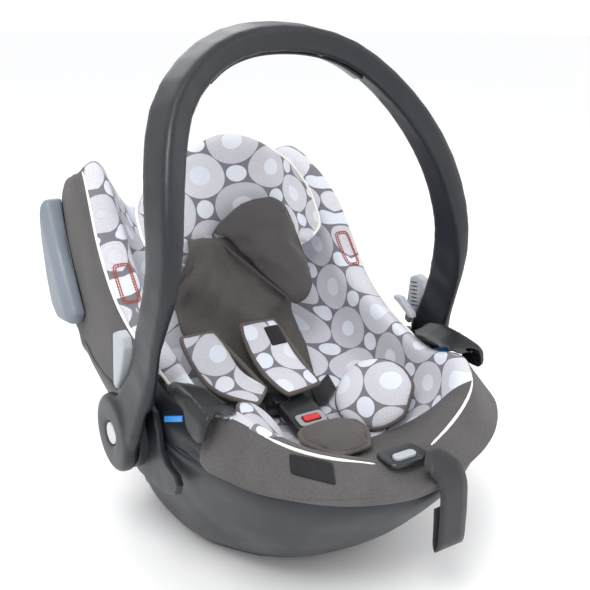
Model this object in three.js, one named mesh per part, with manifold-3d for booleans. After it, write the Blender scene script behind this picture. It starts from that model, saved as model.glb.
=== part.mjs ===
// Infant car seat with a carrying handle, a sliding headrest and a harness.
// Millimetres, +Z up, foot end towards -Y, the child's left towards +X.
// The origin is on the flat sole, where the seat rests on its base.
import * as THREE from 'three';
import { mergeVertices } from 'three/addons/utils/BufferGeometryUtils.js';
import Module from 'manifold-3d';

const wasm = await Module();
wasm.setup();

// ---------------------------------------------------------------- driving dimensions
const GAP = 0.35;                 // clearance between pieces that touch
const SHELL_T = 4;                // plastic shell wall
const COVER_T = 5;                // fabric cover over the shell
const COVER_GAP = 2;              // room under the cover
const LINER_T = 7;                // padded lining of the bucket
const FOAM_T = 17;                // energy-absorbing foam under the lining
const FOAM_GAP = 1.5;
const SIDE_X = 188;               // outer side of the shell, inside the handle
const PIVOT = { y: -28, z: 154 }; // handle hinge axis, along X
const HUB_IN = 206.9;             // handle hub, inner and outer face
const HUB_OUT = 224;
const BORE_R = 9.3;               // bores for the pivot pins
const PIN_R = 9;
const BUTTON_R = 13.4;            // round release buttons in the hubs
const RECESS_R = 13.9;
const COLUMNS = 56;               // columns of the shell's surfaces, all the way round

// ---------------------------------------------------------------- level curves
// Each curve runs from the foot end's centre to the head end's centre on the child's left,
// with one point at each of the same fifteen stations. The right side is its mirror image.
const RIM = [
  [0, -279, 170], [50, -269, 184], [96, -253, 196], [133, -231, 215], [156, -192, 226],
  [165, -130, 212], [168, -48, 232], [176, 32, 273], [179, 87, 339], [175, 116, 374],
  [161, 183, 420], [140, 240, 398], [100, 275, 352], [60, 288, 336], [0, 295, 333],
];
const BULGE = [
  [0, -312, 160], [50, -306, 162], [105, -289, 166], [152, -259, 171], [184, -215, 180],
  [186, -130, 184], [187, -48, 190], [187.5, 32, 215], [187.5, 92, 270], [187, 127, 320],
  [183, 202, 384], [165, 256, 372], [118, 292, 335], [66, 304, 318], [0, 308, 314],
];
const HEM = [
  [0, -308, 148], [50, -301, 150], [100, -280, 154], [143, -248, 162], [175, -204, 171],
  [185, -130, 166], [187, -48, 170], [187.5, 40, 178], [187.5, 100, 186], [187, 148, 204],
  [184, 207, 235], [167, 254, 262], [121, 287, 274], [66, 299, 278], [0, 303, 280],
];
const CREASE = [
  [0, -292, 120], [50, -286, 122], [104, -262, 124], [142, -235, 134], [168, -190, 141],
  [182, -130, 145], [186, -48, 150], [186, 40, 158], [186, 102, 166], [185, 150, 182],
  [181, 205, 212], [163, 250, 243], [119, 281, 257], [65, 294, 262], [0, 298, 264],
];
const BELLY = [
  [0, -240, 60], [34, -235, 60], [78, -222, 60], [112, -196, 60], [136, -156, 60],
  [155, -104, 60], [160, -44, 63], [160, 34, 72], [157, 92, 87], [151, 140, 107],
  [139, 189, 136], [122, 224, 166], [92, 248, 186], [52, 261, 195], [0, 266, 198],
];
const TURN = [
  [0, -190, 20], [34, -187, 20], [68, -173, 20], [98, -148, 20], [122, -113, 20],
  [142, -70, 20], [148, -15, 20], [148, 35, 22], [143, 76, 27], [133, 106, 35],
  [114, 130, 45], [92, 147, 54], [64, 158, 60], [32, 165, 64], [0, 168, 66],
];
const SOLE = [
  [0, -158, 0], [30, -155, 0], [60, -142, 0], [88, -120, 0], [109, -92, 0],
  [122, -58, 0], [128, -15, 0], [128, 20, 0], [123, 46, 0], [113, 62, 0],
  [97, 74, 0], [76, 82, 0], [50, 87, 0], [25, 89, 0], [0, 90, 0],
];
const CREST = [
  [0, -262, 167], [47, -254, 180], [88, -238, 192], [121, -216, 210], [141, -184, 223],
  [147, -130, 215], [147, -48, 237], [146, 34, 276], [147, 92, 343], [146, 124, 377],
  [141, 180, 423], [120, 222, 400], [86, 250, 356], [50, 264, 339], [0, 270, 335],
];
const WALL = [
  [0, -246, 157], [43, -238, 163], [80, -222, 168], [110, -200, 178], [130, -170, 190],
  [140, -122, 190], [141, -48, 196], [139, 36, 234], [138, 94, 298], [135, 124, 332],
  [129, 164, 372], [111, 206, 370], [80, 230, 336], [46, 242, 321], [0, 248, 318],
];
const LOW_WALL = [
  [0, -225, 151], [38, -218, 151], [70, -200, 152], [98, -178, 156], [117, -148, 160],
  [127, -108, 160], [130, -48, 163], [128, 40, 196], [126, 90, 250], [122, 122, 284],
  [116, 152, 312], [98, 180, 317], [70, 198, 305], [40, 207, 298], [0, 211, 295],
];
const FLOOR = [
  [0, -200, 144], [30, -192, 143], [52, -172, 141], [73, -150, 140], [87, -122, 140],
  [95, -88, 140], [99, -42, 145], [99, 28, 178], [95, 72, 229], [89, 98, 260],
  [80, 120, 281], [66, 138, 288], [46, 150, 288], [24, 156, 287], [0, 158, 286],
];
const SPINE = [
  [0, -190, 142], [0, -180, 140], [0, -162, 137], [0, -138, 134], [0, -110, 131],
  [0, -76, 129], [0, -38, 132], [0, 22, 165], [0, 60, 211], [0, 90, 249],
  [0, 112, 273], [0, 130, 281], [0, 140, 283], [0, 146, 284], [0, 150, 285],
];
const KEEL = SOLE.map((p, i) => [0, -120 + 150 * i / 14, 0]);
const STATIONS = 2 * (RIM.length - 1);
const SKIRT_ENDS = [4.5, 4.5, 4.4, 4.15]; // stations where the foot skirt ends, from rim to hem
const SKIRT_END = 4.5;
const HEAD_START = 6.5;           // station where the head cover starts

// ---------------------------------------------------------------- vector and mesh helpers
const V = (x, y, z) => new THREE.Vector3(x, y, z);
const lerp = (a, b, t) => a.clone().lerp(b, t);
const towards = (a, b, d) => a.clone().add(b.clone().sub(a).setLength(d));
const mirrorX = (p) => V(-p.x, p.y, p.z);
const smooth = (x, lo, hi) => THREE.MathUtils.smoothstep(x, lo, hi);

// Smooth curve through hand-set points.
function curve(points, closed = false) {
  return new THREE.CatmullRomCurve3(points.map((p) => (p.isVector3 ? p : V(...p))), closed, 'centripetal');
}

// Closed curve round the whole seat from one half of it.
function loop(half) {
  const left = half.map((p) => V(...p));
  const right = left.slice(1, -1).reverse().map(mirrorX);
  return curve([...left, ...right], true);
}

// Point of a loop at a station, where negative stations are on the right side.
function at(closedCurve, station) {
  const t = station / STATIONS;
  return closedCurve.getPoint(t - Math.floor(t));
}

function solidFromTriangles(positions) {
  const raw = new THREE.BufferGeometry();
  raw.setAttribute('position', new THREE.Float32BufferAttribute(positions, 3));
  const merged = mergeVertices(raw, 1e-3);
  const kept = [];
  const index = merged.index.array;
  for (let i = 0; i < index.length; i += 3) {
    const [a, b, c] = [index[i], index[i + 1], index[i + 2]];
    if (a !== b && b !== c && c !== a) kept.push(a, b, c);
  }
  merged.setIndex(kept);
  if (signedVolume(merged) < 0) {
    for (let i = 0; i < kept.length; i += 3) [kept[i], kept[i + 1]] = [kept[i + 1], kept[i]];
    merged.setIndex(kept);
  }
  return merged;
}

function signedVolume(geometry) {
  const p = geometry.attributes.position;
  const index = geometry.index.array;
  let sum = 0;
  for (let i = 0; i < index.length; i += 3) {
    const [a, b, c] = [0, 1, 2].map((k) => V().fromBufferAttribute(p, index[i + k]));
    sum += a.dot(b.cross(c));
  }
  return sum;
}

// Solid through a stack of rings with equal point counts. An open end is closed by a strip
// between each point and its partner counted from the ring's other end.
function loft(rings) {
  const positions = [];
  const push = (...points) => points.forEach((p) => positions.push(p.x, p.y, p.z));
  const n = rings[0].length;
  for (let i = 0; i + 1 < rings.length; i += 1) {
    for (let k = 0; k < n; k += 1) {
      const [a, b] = [rings[i][k], rings[i][(k + 1) % n]];
      const [c, d] = [rings[i + 1][(k + 1) % n], rings[i + 1][k]];
      push(a, b, c, a, c, d);
    }
  }
  const cap = (ring, flip) => {
    for (let k = 0; k + 1 < n / 2; k += 1) {
      const quad = [ring[k], ring[k + 1], ring[n - 2 - k], ring[n - 1 - k]];
      if (flip) quad.reverse();
      push(quad[0], quad[2], quad[1], quad[0], quad[3], quad[2]);
    }
  };
  if (!isFolded(rings[0])) cap(rings[0], false);
  if (!isFolded(rings[rings.length - 1])) cap(rings[rings.length - 1], true);
  return solidFromTriangles(positions);
}

// True where a ring is folded flat on the seat's middle plane, which already closes it.
function isFolded(ring) {
  return ring.every((p) => Math.abs(p.x) < 1e-6);
}

// Solid between two equal grids of points, such as the two faces of a pad.
function slab(outer, inner) {
  return loft(outer.map((row, i) => [...row, ...[...inner[i]].reverse()]));
}

// Bar with a rounded section along a list of {p, w, h} and one sideways direction for w.
function bar(sections, side, squareness = 2.6, sides = 12) {
  const path = curve(sections.map((s) => s.p));
  const last = sections.length - 1;
  const rings = sections.map((s, i) => {
    const tangent = path.getTangent(i / last);
    const across = side.clone().addScaledVector(tangent, -side.dot(tangent)).normalize();
    const up = tangent.clone().cross(across);
    return Array.from({ length: sides }, (_, k) => {
      const angle = (2 * Math.PI * (k + 0.5)) / sides;
      const power = 2 / squareness;
      const c = Math.sign(Math.cos(angle)) * Math.abs(Math.cos(angle)) ** power;
      const u = Math.sign(Math.sin(angle)) * Math.abs(Math.sin(angle)) ** power;
      return s.p.clone().addScaledVector(across, (c * s.w) / 2).addScaledVector(up, (u * s.h) / 2);
    });
  });
  return loft(rings);
}

// Flat strap of constant width and thickness along points, with its width along side.
function strap(points, width, thickness, side, steps = 12) {
  const path = curve(points);
  const row = (t, offset) => {
    const p = path.getPoint(t);
    const tangent = path.getTangent(t);
    const across = side.clone().addScaledVector(tangent, -side.dot(tangent)).normalize();
    const normal = tangent.clone().cross(across);
    const edge = (u) => p.clone().addScaledVector(across, u * width).addScaledVector(normal, offset);
    return [edge(-0.5), edge(0.5)];
  };
  const ts = Array.from({ length: steps + 1 }, (_, i) => i / steps);
  return slab(ts.map((t) => row(t, thickness / 2)), ts.map((t) => row(t, -thickness / 2)));
}

// Outline in the Y-Z plane extruded along X from x0 to x1, with round holes {y, z, r}.
function sidePlate(outline, x0, x1, holes = [], bevel = 0) {
  const shape = new THREE.Shape(outline.map(([y, z]) => new THREE.Vector2(y, z)));
  for (const hole of holes) {
    const path = new THREE.Path();
    path.absarc(hole.y, hole.z, hole.r, 0, 2 * Math.PI, true);
    shape.holes.push(path);
  }
  const depth = Math.abs(x1 - x0) - 2 * bevel;
  const geometry = new THREE.ExtrudeGeometry(shape, {
    depth, curveSegments: 20, bevelEnabled: bevel > 0, bevelThickness: bevel, bevelSize: bevel,
    bevelOffset: -bevel, bevelSegments: 1,
  });
  geometry.translate(0, 0, bevel);
  const m = new THREE.Matrix4().set(0, 0, 1, Math.min(x0, x1), 1, 0, 0, 0, 0, 1, 0, 0, 0, 0, 0, 1);
  geometry.applyMatrix4(m);
  return clean(geometry);
}

// Round piece along X about a point, from a lathe profile of [radius, x] pairs.
function turned(profile, y, z, segments = 20) {
  const geometry = new THREE.LatheGeometry(profile.map(([r, x]) => new THREE.Vector2(r, x)), segments);
  geometry.rotateZ(-Math.PI / 2);
  geometry.translate(0, y, z);
  return clean(geometry);
}

function clean(geometry) {
  const flat = geometry.index ? geometry.toNonIndexed() : geometry;
  return solidFromTriangles(Array.from(flat.attributes.position.array));
}

function mirrored(geometry) {
  const copy = geometry.toNonIndexed();
  copy.scale(-1, 1, 1);
  return clean(copy);
}

function placed(geometry, x, y, z, rx = 0) {
  const copy = geometry.clone();
  copy.rotateX(rx);
  copy.translate(x, y, z);
  return clean(copy);
}

function roundedBox(w, d, h, r, edge = 1) {
  const shape = new THREE.Shape();
  const [x, y] = [w / 2 - edge, d / 2 - edge];
  shape.moveTo(-x + r, -y).lineTo(x - r, -y).quadraticCurveTo(x, -y, x, -y + r);
  shape.lineTo(x, y - r).quadraticCurveTo(x, y, x - r, y);
  shape.lineTo(-x + r, y).quadraticCurveTo(-x, y, -x, y - r);
  shape.lineTo(-x, -y + r).quadraticCurveTo(-x, -y, -x + r, -y);
  const geometry = new THREE.ExtrudeGeometry(shape, {
    depth: h - 2 * edge, curveSegments: 3, bevelEnabled: true, bevelThickness: edge,
    bevelSize: edge, bevelSegments: 1,
  });
  geometry.translate(0, 0, edge);
  return clean(geometry);
}

// ---------------------------------------------------------------- joins and cuts
function toManifold(geometry) {
  const mesh = new wasm.Mesh({
    numProp: 3,
    vertProperties: new Float32Array(geometry.attributes.position.array),
    triVerts: new Uint32Array(geometry.index.array),
  });
  return new wasm.Manifold(mesh);
}

function fromManifold(solid) {
  const mesh = solid.getMesh();
  const geometry = new THREE.BufferGeometry();
  const kept = [];
  for (let i = 0; i < mesh.numVert; i += 1) {
    for (let k = 0; k < 3; k += 1) kept.push(mesh.vertProperties[i * mesh.numProp + k]);
  }
  geometry.setAttribute('position', new THREE.Float32BufferAttribute(kept, 3));
  geometry.setIndex(Array.from(mesh.triVerts));
  return geometry;
}

const join = (...parts) => fromManifold(parts.map(toManifold).reduce((a, b) => a.add(b)));
const cut = (body, ...tools) => (
  fromManifold(tools.map(toManifold).reduce((a, b) => a.subtract(b), toManifold(body))));

// ---------------------------------------------------------------- materials and the group
const COLOURS = {
  plastic: ['#45474c', 0.42, 0], black: ['#1c1d20', 0.35, 0], taupe: ['#6e6a62', 0.95, 0],
  pattern: ['#c9c8cf', 0.95, 0], jersey: ['#5b5654', 0.95, 0], webbing: ['#1d1e20', 0.8, 0],
  steel: ['#b9bcc0', 0.3, 1], silver: ['#c3c6c9', 0.3, 1], foam: ['#dcdcd8', 0.9, 0],
  light: ['#aeb4ba', 0.5, 0], block: ['#8b95a0', 0.45, 0], blue: ['#2f86d6', 0.4, 0],
  red: ['#c8302f', 0.4, 0],
};
const materials = Object.fromEntries(Object.entries(COLOURS).map(([name, [color, roughness, metalness]]) => (
  [name, new THREE.MeshStandardMaterial({ color, roughness, metalness })])));
const group = new THREE.Group();

function add(name, geometry, material) {
  const mesh = new THREE.Mesh(geometry, materials[material]);
  mesh.name = name;
  group.add(mesh);
}

// A piece on the child's left and its mirror image on the right.
function addPair(name, geometry, material) {
  add(`${name}_left`, geometry, material);
  add(`${name}_right`, mirrored(geometry), material);
}

// ---------------------------------------------------------------- shell, foam and covers
const L = {
  rim: loop(RIM), bulge: loop(BULGE), hem: loop(HEM), crease: loop(CREASE), belly: loop(BELLY),
  turn: loop(TURN), sole: loop(SOLE), crest: loop(CREST), wall: loop(WALL),
  lowWall: loop(LOW_WALL), floor: loop(FLOOR), spine: loop(SPINE), keel: loop(KEEL),
};

// All named points of the wall's section at one station. core lies in the middle of the rim.
function section(station) {
  const s = Object.fromEntries(Object.entries(L).map(([name, c]) => [name, at(c, station)]));
  s.core = V().add(s.rim).add(s.crest).add(s.bulge).add(s.wall).multiplyScalar(0.25);
  s.lip = lerp(s.rim, s.bulge, 0.34);
  return s;
}

// Share of the shell that is under a fabric cover: all but the stretch at the handle's hubs.
function covered(station) {
  const half = Math.abs(station > STATIONS / 2 ? STATIONS - station : station);
  return 1 - smooth(half, SKIRT_END + 0.4, SKIRT_END + 0.9) + smooth(half, HEAD_START - 0.5, HEAD_START);
}

// Points on the shell's outer face and the direction into the wall at each.
function hullPoints(station) {
  const s = section(station);
  const under = (COVER_T + COVER_GAP) * covered(station);
  return [
    [s.keel, s.spine, 0], [s.sole, s.spine, 0], [s.turn, s.floor, 0], [s.belly, s.floor, 0],
    [s.crease, s.lowWall, 0], [lerp(s.hem, s.crease, 0.2), s.wall, 0.5 * under],
    [s.hem, s.wall, under], [s.bulge, s.wall, under], [s.lip, s.core, 1.2 + under],
  ];
}

function ringsAt(levelOf, columns = COLUMNS) {
  const columnPoints = Array.from({ length: columns }, (_, k) => levelOf((STATIONS * k) / columns));
  return columnPoints[0].map((_, level) => columnPoints.map((points) => points[level]));
}

function outerShell() {
  const outer = ringsAt((station) => hullPoints(station).map(([p, q, d]) => towards(p, q, d + 0.001)));
  const inner = ringsAt((station) => hullPoints(station).map(([p, q, d]) => towards(p, q, d + SHELL_T)));
  for (const ring of [outer[0], inner[0]]) ring.forEach((p) => { p.x = 0; });
  const geometry = loft([...outer, ...inner.reverse()]);
  const window = new THREE.BoxGeometry(70, 26, 14);
  return cut(geometry, ...LOCK_BARS.map(({ y }) => placed(window, 0, y, 0)));
}

// Lining: the visible face and the hidden face LINER_T under it.
function liningPoints(station) {
  const s = section(station);
  return [
    [s.spine, s.keel], [s.floor, s.belly], [s.lowWall, s.crease], [s.wall, s.bulge],
    [s.crest, s.core], [s.rim, s.core],
  ];
}

function seatLiner() {
  const seen = ringsAt((station) => liningPoints(station).map(([p]) => p));
  const hidden = ringsAt((station) => liningPoints(station).map(([p, q]) => towards(p, q, LINER_T)));
  for (const ring of [seen[0], hidden[0]]) ring.forEach((p) => { p.x = 0; });
  return loft([...seen, ...hidden.reverse()]);
}

function foamLiner() {
  const pick = (station, d) => liningPoints(station).slice(0, 4).map(([p, q]) => towards(p, q, d));
  const top = ringsAt((station) => pick(station, LINER_T + FOAM_GAP));
  const bottom = ringsAt((station) => pick(station, LINER_T + FOAM_T));
  for (const ring of [top[0], bottom[0]]) ring.forEach((p) => { p.x = 0; });
  return loft([...bottom, ...top.reverse()]);
}

// Cover over the outside of the shell between two stations, from the rim down to the hem.
// ends holds its first and last station at each of the four levels.
function cover(ends) {
  const step = STATIONS / COLUMNS;
  const first = Math.floor(ends[0][0] / step + 1.5);
  const columns = Math.ceil(ends[0][1] / step - 1.5) - first;
  const rows = Array.from({ length: columns + 3 }, (_, k) => {
    const [rim, lip, bulge, hem] = ends.map(([from, to]) => {
      if (k === 0) return section(from);
      return section(k === columns + 2 ? to : (first + k - 1) * step);
    });
    return [[towards(rim.rim, rim.bulge, 1.2), rim.core], [lip.lip, lip.core],
      [bulge.bulge, bulge.wall], [hem.hem, hem.wall]];
  });
  return slab(rows.map((row) => row.map(([p]) => p)),
    rows.map((row) => row.map(([p, q]) => towards(p, q, COVER_T))));
}

// ---------------------------------------------------------------- back line and its frame
// The back rest is a straight incline. x is across, n stands off the lining, s runs up it.
const BACK = { y: 60, z: 212, up: V(0, 0.62, 0.785).normalize() };
BACK.out = V(0, -BACK.up.z, BACK.up.y);
const back = (x, n, s) => V(x, BACK.y, BACK.z).addScaledVector(BACK.out, n).addScaledVector(BACK.up, s);

// ---------------------------------------------------------------- headrest
const HEAD_PAD_T = 20;
const PILLOW_N = 60;              // middle of the head pillow above the lining
const HEAD_LOW = -10;             // lower and upper edge of the headrest along the back
const HEAD_HIGH = 222;
const LEAN = 90;                  // the top curls over the crown of the head by this much
const BOWL_W = 100;               // half width and depth of the rounded part of the bowl
const BOWL_D = 58;
const BOWL_N = 10.5;
const PAD_REACH = 92;             // half width and rise of the padded face inside the bowl
const PAD_RISE = 31;

// Sections of the bowl's outer face, from the front edge of one wing to the middle.
// Each entry is [x, n at the bottom, share of the lean, lowest s, highest s].
const BOWL = [
  [129, 61, 0.22, 104, 152], [123, 58.5, 0.32, 95, 167], [113, 53.5, 0.47, 88, 180],
  [101, 47, 0.62, 85, 193], [86, 36, 0.8, 81, 199], [64.3, 24, 0.95, 60, 208],
  [34.2, 14, 1, 10, 217], [0, BOWL_N, 1, HEAD_LOW, HEAD_HIGH],
];

const leanAt = (s) => LEAN * Math.max(0, (s - HEAD_LOW) / (HEAD_HIGH - HEAD_LOW)) ** 2.2;

// Height of the bowl's padded face above the back line at x across and s up.
function padFace(x, s) {
  const across = Math.min(1, Math.abs(x) / PAD_REACH);
  const bowl = PAD_RISE * across ** 2.2;
  return BOWL_N + HEAD_PAD_T + bowl + leanAt(s) * (1 - 0.5 * across ** 3);
}

// Half width of the headrest at height s, measured along its lower edge.
function reachAt(s) {
  for (let i = BOWL.length - 1; i > 0; i -= 1) {
    const [x0, x1, low0, low1] = [BOWL[i][0], BOWL[i - 1][0], BOWL[i][3], BOWL[i - 1][3]];
    if (s < low1) return x0 + ((x1 - x0) * Math.max(0, s - low0)) / (low1 - low0);
  }
  return BOWL[0][0];
}

function headrestGrid(inset, rows = 7) {
  const half = BOWL.map(([x, n, share, low, high], i) => {
    const wing = n > BOWL_D;
    const round = 1 - inset / BOWL_D;
    const inner = wing ? [x - inset, n] : [x * (1 - inset / BOWL_W), BOWL_N + inset + (n - BOWL_N) * round];
    return { x: inner[0], n: inner[1] - (i === 0 ? inset * 0.3 : 0), share, low, high };
  });
  const full = [...half, ...half.slice(0, -1).reverse().map((p) => ({ ...p, x: -p.x }))];
  return Array.from({ length: rows + 1 }, (_, r) => full.map(({ x, n, share, low, high }) => {
    const s = low + ((high - low) * r) / rows;
    return back(x, n + share * leanAt(s), s);
  }));
}

function headrestPad() {
  return slab(headrestGrid(HEAD_PAD_T), headrestGrid(0));
}

function headrestShell() {
  const plate = [[-36, 0], [-44, 60], [-56, 110], [56, 110], [44, 60], [36, 0]];
  const outline = (n) => plate.map(([x, s]) => back(x, n, s));
  return loft([outline(6.6), outline(9.8)]);
}

// Half-moon head pillow, turned towards the child's left.
function headPillow() {
  const flat = [[-38, 114], [6, 54], [50, -5]];
  const round = [[-38, 114], [14, 143], [66, 134], [80, 78], [76, 12], [50, -5]];
  const flatLine = curve(flat.map(([x, s]) => [x, 0, s]));
  const roundLine = curve(round.map(([x, s]) => [x, 0, s]));
  const rows = 8;
  const across = 5;
  const rings = Array.from({ length: rows - 1 }, (_, i) => {
    const t = (i + 1) / rows;
    const [a, b] = [flatLine.getPoint(t), roundLine.getPoint(t)];
    const swell = Math.sin(Math.PI * t) ** 0.5;
    const line = (sign) => Array.from({ length: across + 1 }, (_, k) => {
      const u = k / across;
      const p = a.clone().lerp(b, u);
      const lift = Math.sqrt(Math.max(0, 1 - (2 * u - 1) ** 2)) * swell;
      const n = PILLOW_N + (padFace(p.x, p.z) - padFace(0, 0)) * 0.9;
      return back(p.x, n + sign * 12 * lift, p.z);
    });
    return [...line(1), ...line(-1).slice(1, -1).reverse()];
  });
  return loftPointed(rings, back(-38, PILLOW_N, 114), back(50, PILLOW_N, -5));
}

// Loft with a single point at each end.
function loftPointed(rings, start, end) {
  const n = rings[0].length;
  const point = (p) => Array.from({ length: n }, () => p.clone());
  return loft([point(start), ...rings, point(end)]);
}

// ---------------------------------------------------------------- soft inserts
// Pad that follows a centre line in the Y-Z plane, with a half width at each point.
function curvedPad(line, thickness, columns = 6) {
  const path = curve(line.map(([, y, z]) => [0, y, z]));
  const last = line.length - 1;
  const rows = line.map(([halfWidth, y, z, crown], i) => {
    const tangent = path.getTangent(i / last);
    const normal = V(0, -tangent.z, tangent.y);
    const face = (offset, edgeOffset) => Array.from({ length: columns + 1 }, (_, k) => {
      const u = (2 * k) / columns - 1;
      const edge = u * u;
      return V(u * halfWidth, y, z).addScaledVector(normal, offset * (1 - edge) + edgeOffset * edge);
    });
    return [face(thickness, crown + thickness * 0.45), face(0, crown)];
  });
  return slab(rows.map(([top]) => top), rows.map(([, bottom]) => bottom));
}

// ---------------------------------------------------------------- handle
// Front outer edge of the handle on the child's left, from the hub up to the grip's middle.
const HANDLE_EDGE = [
  [222, -40, 108], [222.5, -62, 132], [222, -85, 166], [217, -103, 206], [210, -115, 245],
  [208.5, -128, 288], [205, -141, 330], [200, -144, 374], [195, -135, 417], [186, -120, 458],
  [172, -100, 496], [152, -80, 529], [123, -65, 558], [88, -55, 580], [47, -48, 593], [0, -45, 597],
];
const BOW_STEPS = 44;
const GRIP_W = 45;
const GRIP_T = 29;
const GRIP_TILT = 0.12;           // the grip's outer face leans towards the foot end
const LEG_W = 52;
const LEG_T = 16.5;
const LEG_FLARE = 10;             // extra width where the leg runs into its hub
const LEG_CLEAR_X = 198.5;

function handleSection(path, t) {
  const p = path.getPoint(t);
  const tangent = path.getTangent(t);
  const level = V(0, 1, 0).addScaledVector(tangent, -tangent.y).normalize();
  const grip = 1 - smooth(Math.abs(t - 0.5), 0.14, 0.38);
  const outward = tangent.clone().cross(level);
  const wide = level.addScaledVector(outward, GRIP_TILT * grip).normalize();
  const inward = wide.clone().cross(tangent);
  const flare = LEG_FLARE * (1 - smooth(p.z, 175, 262));
  const w = LEG_W + (GRIP_W - LEG_W) * grip + flare;
  return { p, wide, inward, w, depth: LEG_T + (GRIP_T - LEG_T) * grip };
}

function handlePath() {
  const left = HANDLE_EDGE.map((p) => V(...p));
  return curve([...left.slice(0, -1).map(mirrorX), left[left.length - 1], ...left.slice(0, -1).reverse()]);
}

// The lower legs stay outside the housings and guides that they swing past.
function keepClear(point) {
  const least = LEG_CLEAR_X - 18 * smooth(point.z, 275, 370);
  if (point.z < 370 && Math.abs(point.x) < least) point.x = Math.sign(point.x) * least;
}

function handleBow() {
  const path = handlePath();
  const steps = BOW_STEPS;
  const chamfer = 4;
  const rings = Array.from({ length: steps + 1 }, (_, i) => {
    const { p, wide, inward, w, depth } = handleSection(path, i / steps);
    const corners = [[0, chamfer], [0, w - chamfer], [chamfer, w], [depth - chamfer, w],
      [depth, w - chamfer], [depth, chamfer], [depth - chamfer, 0], [chamfer, 0]];
    const ring = corners.map(([d, b]) => p.clone().addScaledVector(inward, d).addScaledVector(wide, b));
    ring.forEach(keepClear);
    return ring;
  });
  const disc = turned([[0, HUB_IN], [44, HUB_IN], [46, HUB_IN + 2], [46, HUB_OUT - 4], [41, HUB_OUT],
    [0, HUB_OUT]], PIVOT.y, PIVOT.z, 36);
  const bore = turned([[0, HUB_IN - 30], [BORE_R, HUB_IN - 30], [BORE_R, HUB_IN + 6.5],
    [RECESS_R, HUB_IN + 6.5], [RECESS_R, HUB_OUT + 9], [0, HUB_OUT + 9]], PIVOT.y, PIVOT.z, 24);
  const inside = sidePlate([[-160, 90], [40, 90], [40, 207], [-160, 207]], HUB_IN - 40, HUB_IN);
  const tools = [bore, inside];
  const bow = cut(loft(rings), ...tools, ...tools.map(mirrored));
  const hub = cut(disc, bore);
  return join(bow, hub, mirrored(hub));
}

// Soft strip let into the underside of the grip.
function gripStrip() {
  const path = handlePath();
  const [from, to] = [18, 26];
  const rows = Array.from({ length: to - from + 1 }, (_, i) => {
    const { p, wide, inward, w, depth } = handleSection(path, (from + i) / BOW_STEPS);
    return [depth + 2 * GAP, depth + 3.5].map((d) => [9, w - 9].map((b) => (
      p.clone().addScaledVector(inward, d).addScaledVector(wide, b))));
  });
  return slab(rows.map(([near]) => near), rows.map(([, far]) => far));
}

const HOUSING_X = 196.8;          // outer face of the housings' plates, inside the handle's legs
const LEVER = [
  [-34, 209], [-47, 229], [-56, 249], [-61, 266], [-58, 278], [-46, 282], [-33, 276], [-29, 240], [-26, 213],
];
const HOUSING = [
  [20, 160], [14, 186], [-4, 202], [-34, 205], [-70, 205], [-90, 198], [-99, 180], [-104, 158],
  [-120, 149], [-140, 146], [-147, 137], [-141, 124], [-118, 114], [-84, 106], [-44, 104],
  [-8, 112], [14, 132],
];
const SIDE_BLOCK = [
  [131, 243], [146, 226], [184, 220], [208, 236], [222, 272], [232, 318], [234, 352], [226, 376],
  [214, 377], [182, 318],
];
const CANOPY_CLIP = [[-72, 233], [-70, 239], [-45, 255], [-33, 254.5], [-31, 249], [-40, 246], [-66, 231]];

// ---------------------------------------------------------------- locks and harness sizes
const LOCK_BARS = [
  { name: 'base_lock_bar_front', y: -112, half: 84 },
  { name: 'base_lock_bar_rear', y: 36, half: 108 },
];
const LOCK_BAR = { r: 5, z: 14 };
const STRAP_T = 1.6;
const STRAP_W = 25;

function addShell() {
  add('outer_shell', outerShell(), 'plastic');
  add('foam_liner', foamLiner(), 'foam');
  add('seat_liner', seatLiner(), 'pattern');
  add('foot_skirt', cover(SKIRT_ENDS.map((end) => [-end, end])), 'taupe');
  add('head_cover', cover(SKIRT_ENDS.map(() => [HEAD_START, STATIONS - HEAD_START])), 'taupe');
  for (const { name, y, half } of LOCK_BARS) {
    const pin = [[0, -half], [LOCK_BAR.r, -half], [LOCK_BAR.r, half], [0, half]];
    add(name, turned(pin, y, LOCK_BAR.z, 12), 'steel');
  }
}

function addHandle() {
  add('handle_bow', handleBow(), 'plastic');
  add('grip_strip', gripStrip(), 'black');
  const inner = SIDE_X + 0.7;
  const plate = sidePlate(HOUSING, inner, HOUSING_X, [{ ...PIVOT, r: BORE_R }], 1.5);
  const boss = turned([[BORE_R, HOUSING_X - 1], [44, HOUSING_X - 1], [44, HUB_IN - 2], [42, HUB_IN - 0.5],
    [BORE_R, HUB_IN - 0.5], [BORE_R, HOUSING_X - 1]], PIVOT.y, PIVOT.z, 32);
  addPair('hub_housing', join(plate, boss), 'black');
  addPair('pivot_pin', turned([[0, inner + 0.3], [PIN_R, inner + 0.3], [PIN_R, HUB_IN + 5.8],
    [0, HUB_IN + 5.8]], PIVOT.y, PIVOT.z), 'steel');
  addPair('pivot_button', turned([[0, 217.5], [BUTTON_R, 217.5], [BUTTON_R, 222], [BUTTON_R - 1.5, 223.2],
    [0, 223.2]], PIVOT.y, PIVOT.z, 24), 'silver');
  addPair('release_lever', sidePlate(LEVER, 203.5, 216.5, [], 2), 'light');
}

// Sections of the hood over each vehicle belt slot, as [y, inner x, outer x, top, underside, outer edge].
// Its foot end wraps down over the side of the shell.
const HOOD = [
  [-99, 158, 184, 234, 228, 227.5], [-108, 151, 188.5, 239, 227, 227], [-126, 149, 190.5, 242, 226, 225.5],
  [-151, 148, 190.5, 241, 226.5, 224], [-159, 147, 191.6, 240, 228, 206], [-174, 147, 191.8, 238, 229.5, 202],
  [-187, 147.5, 191.8, 235.5, 230, 203], [-194, 150, 190.5, 233.5, 230, 209],
];

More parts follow.
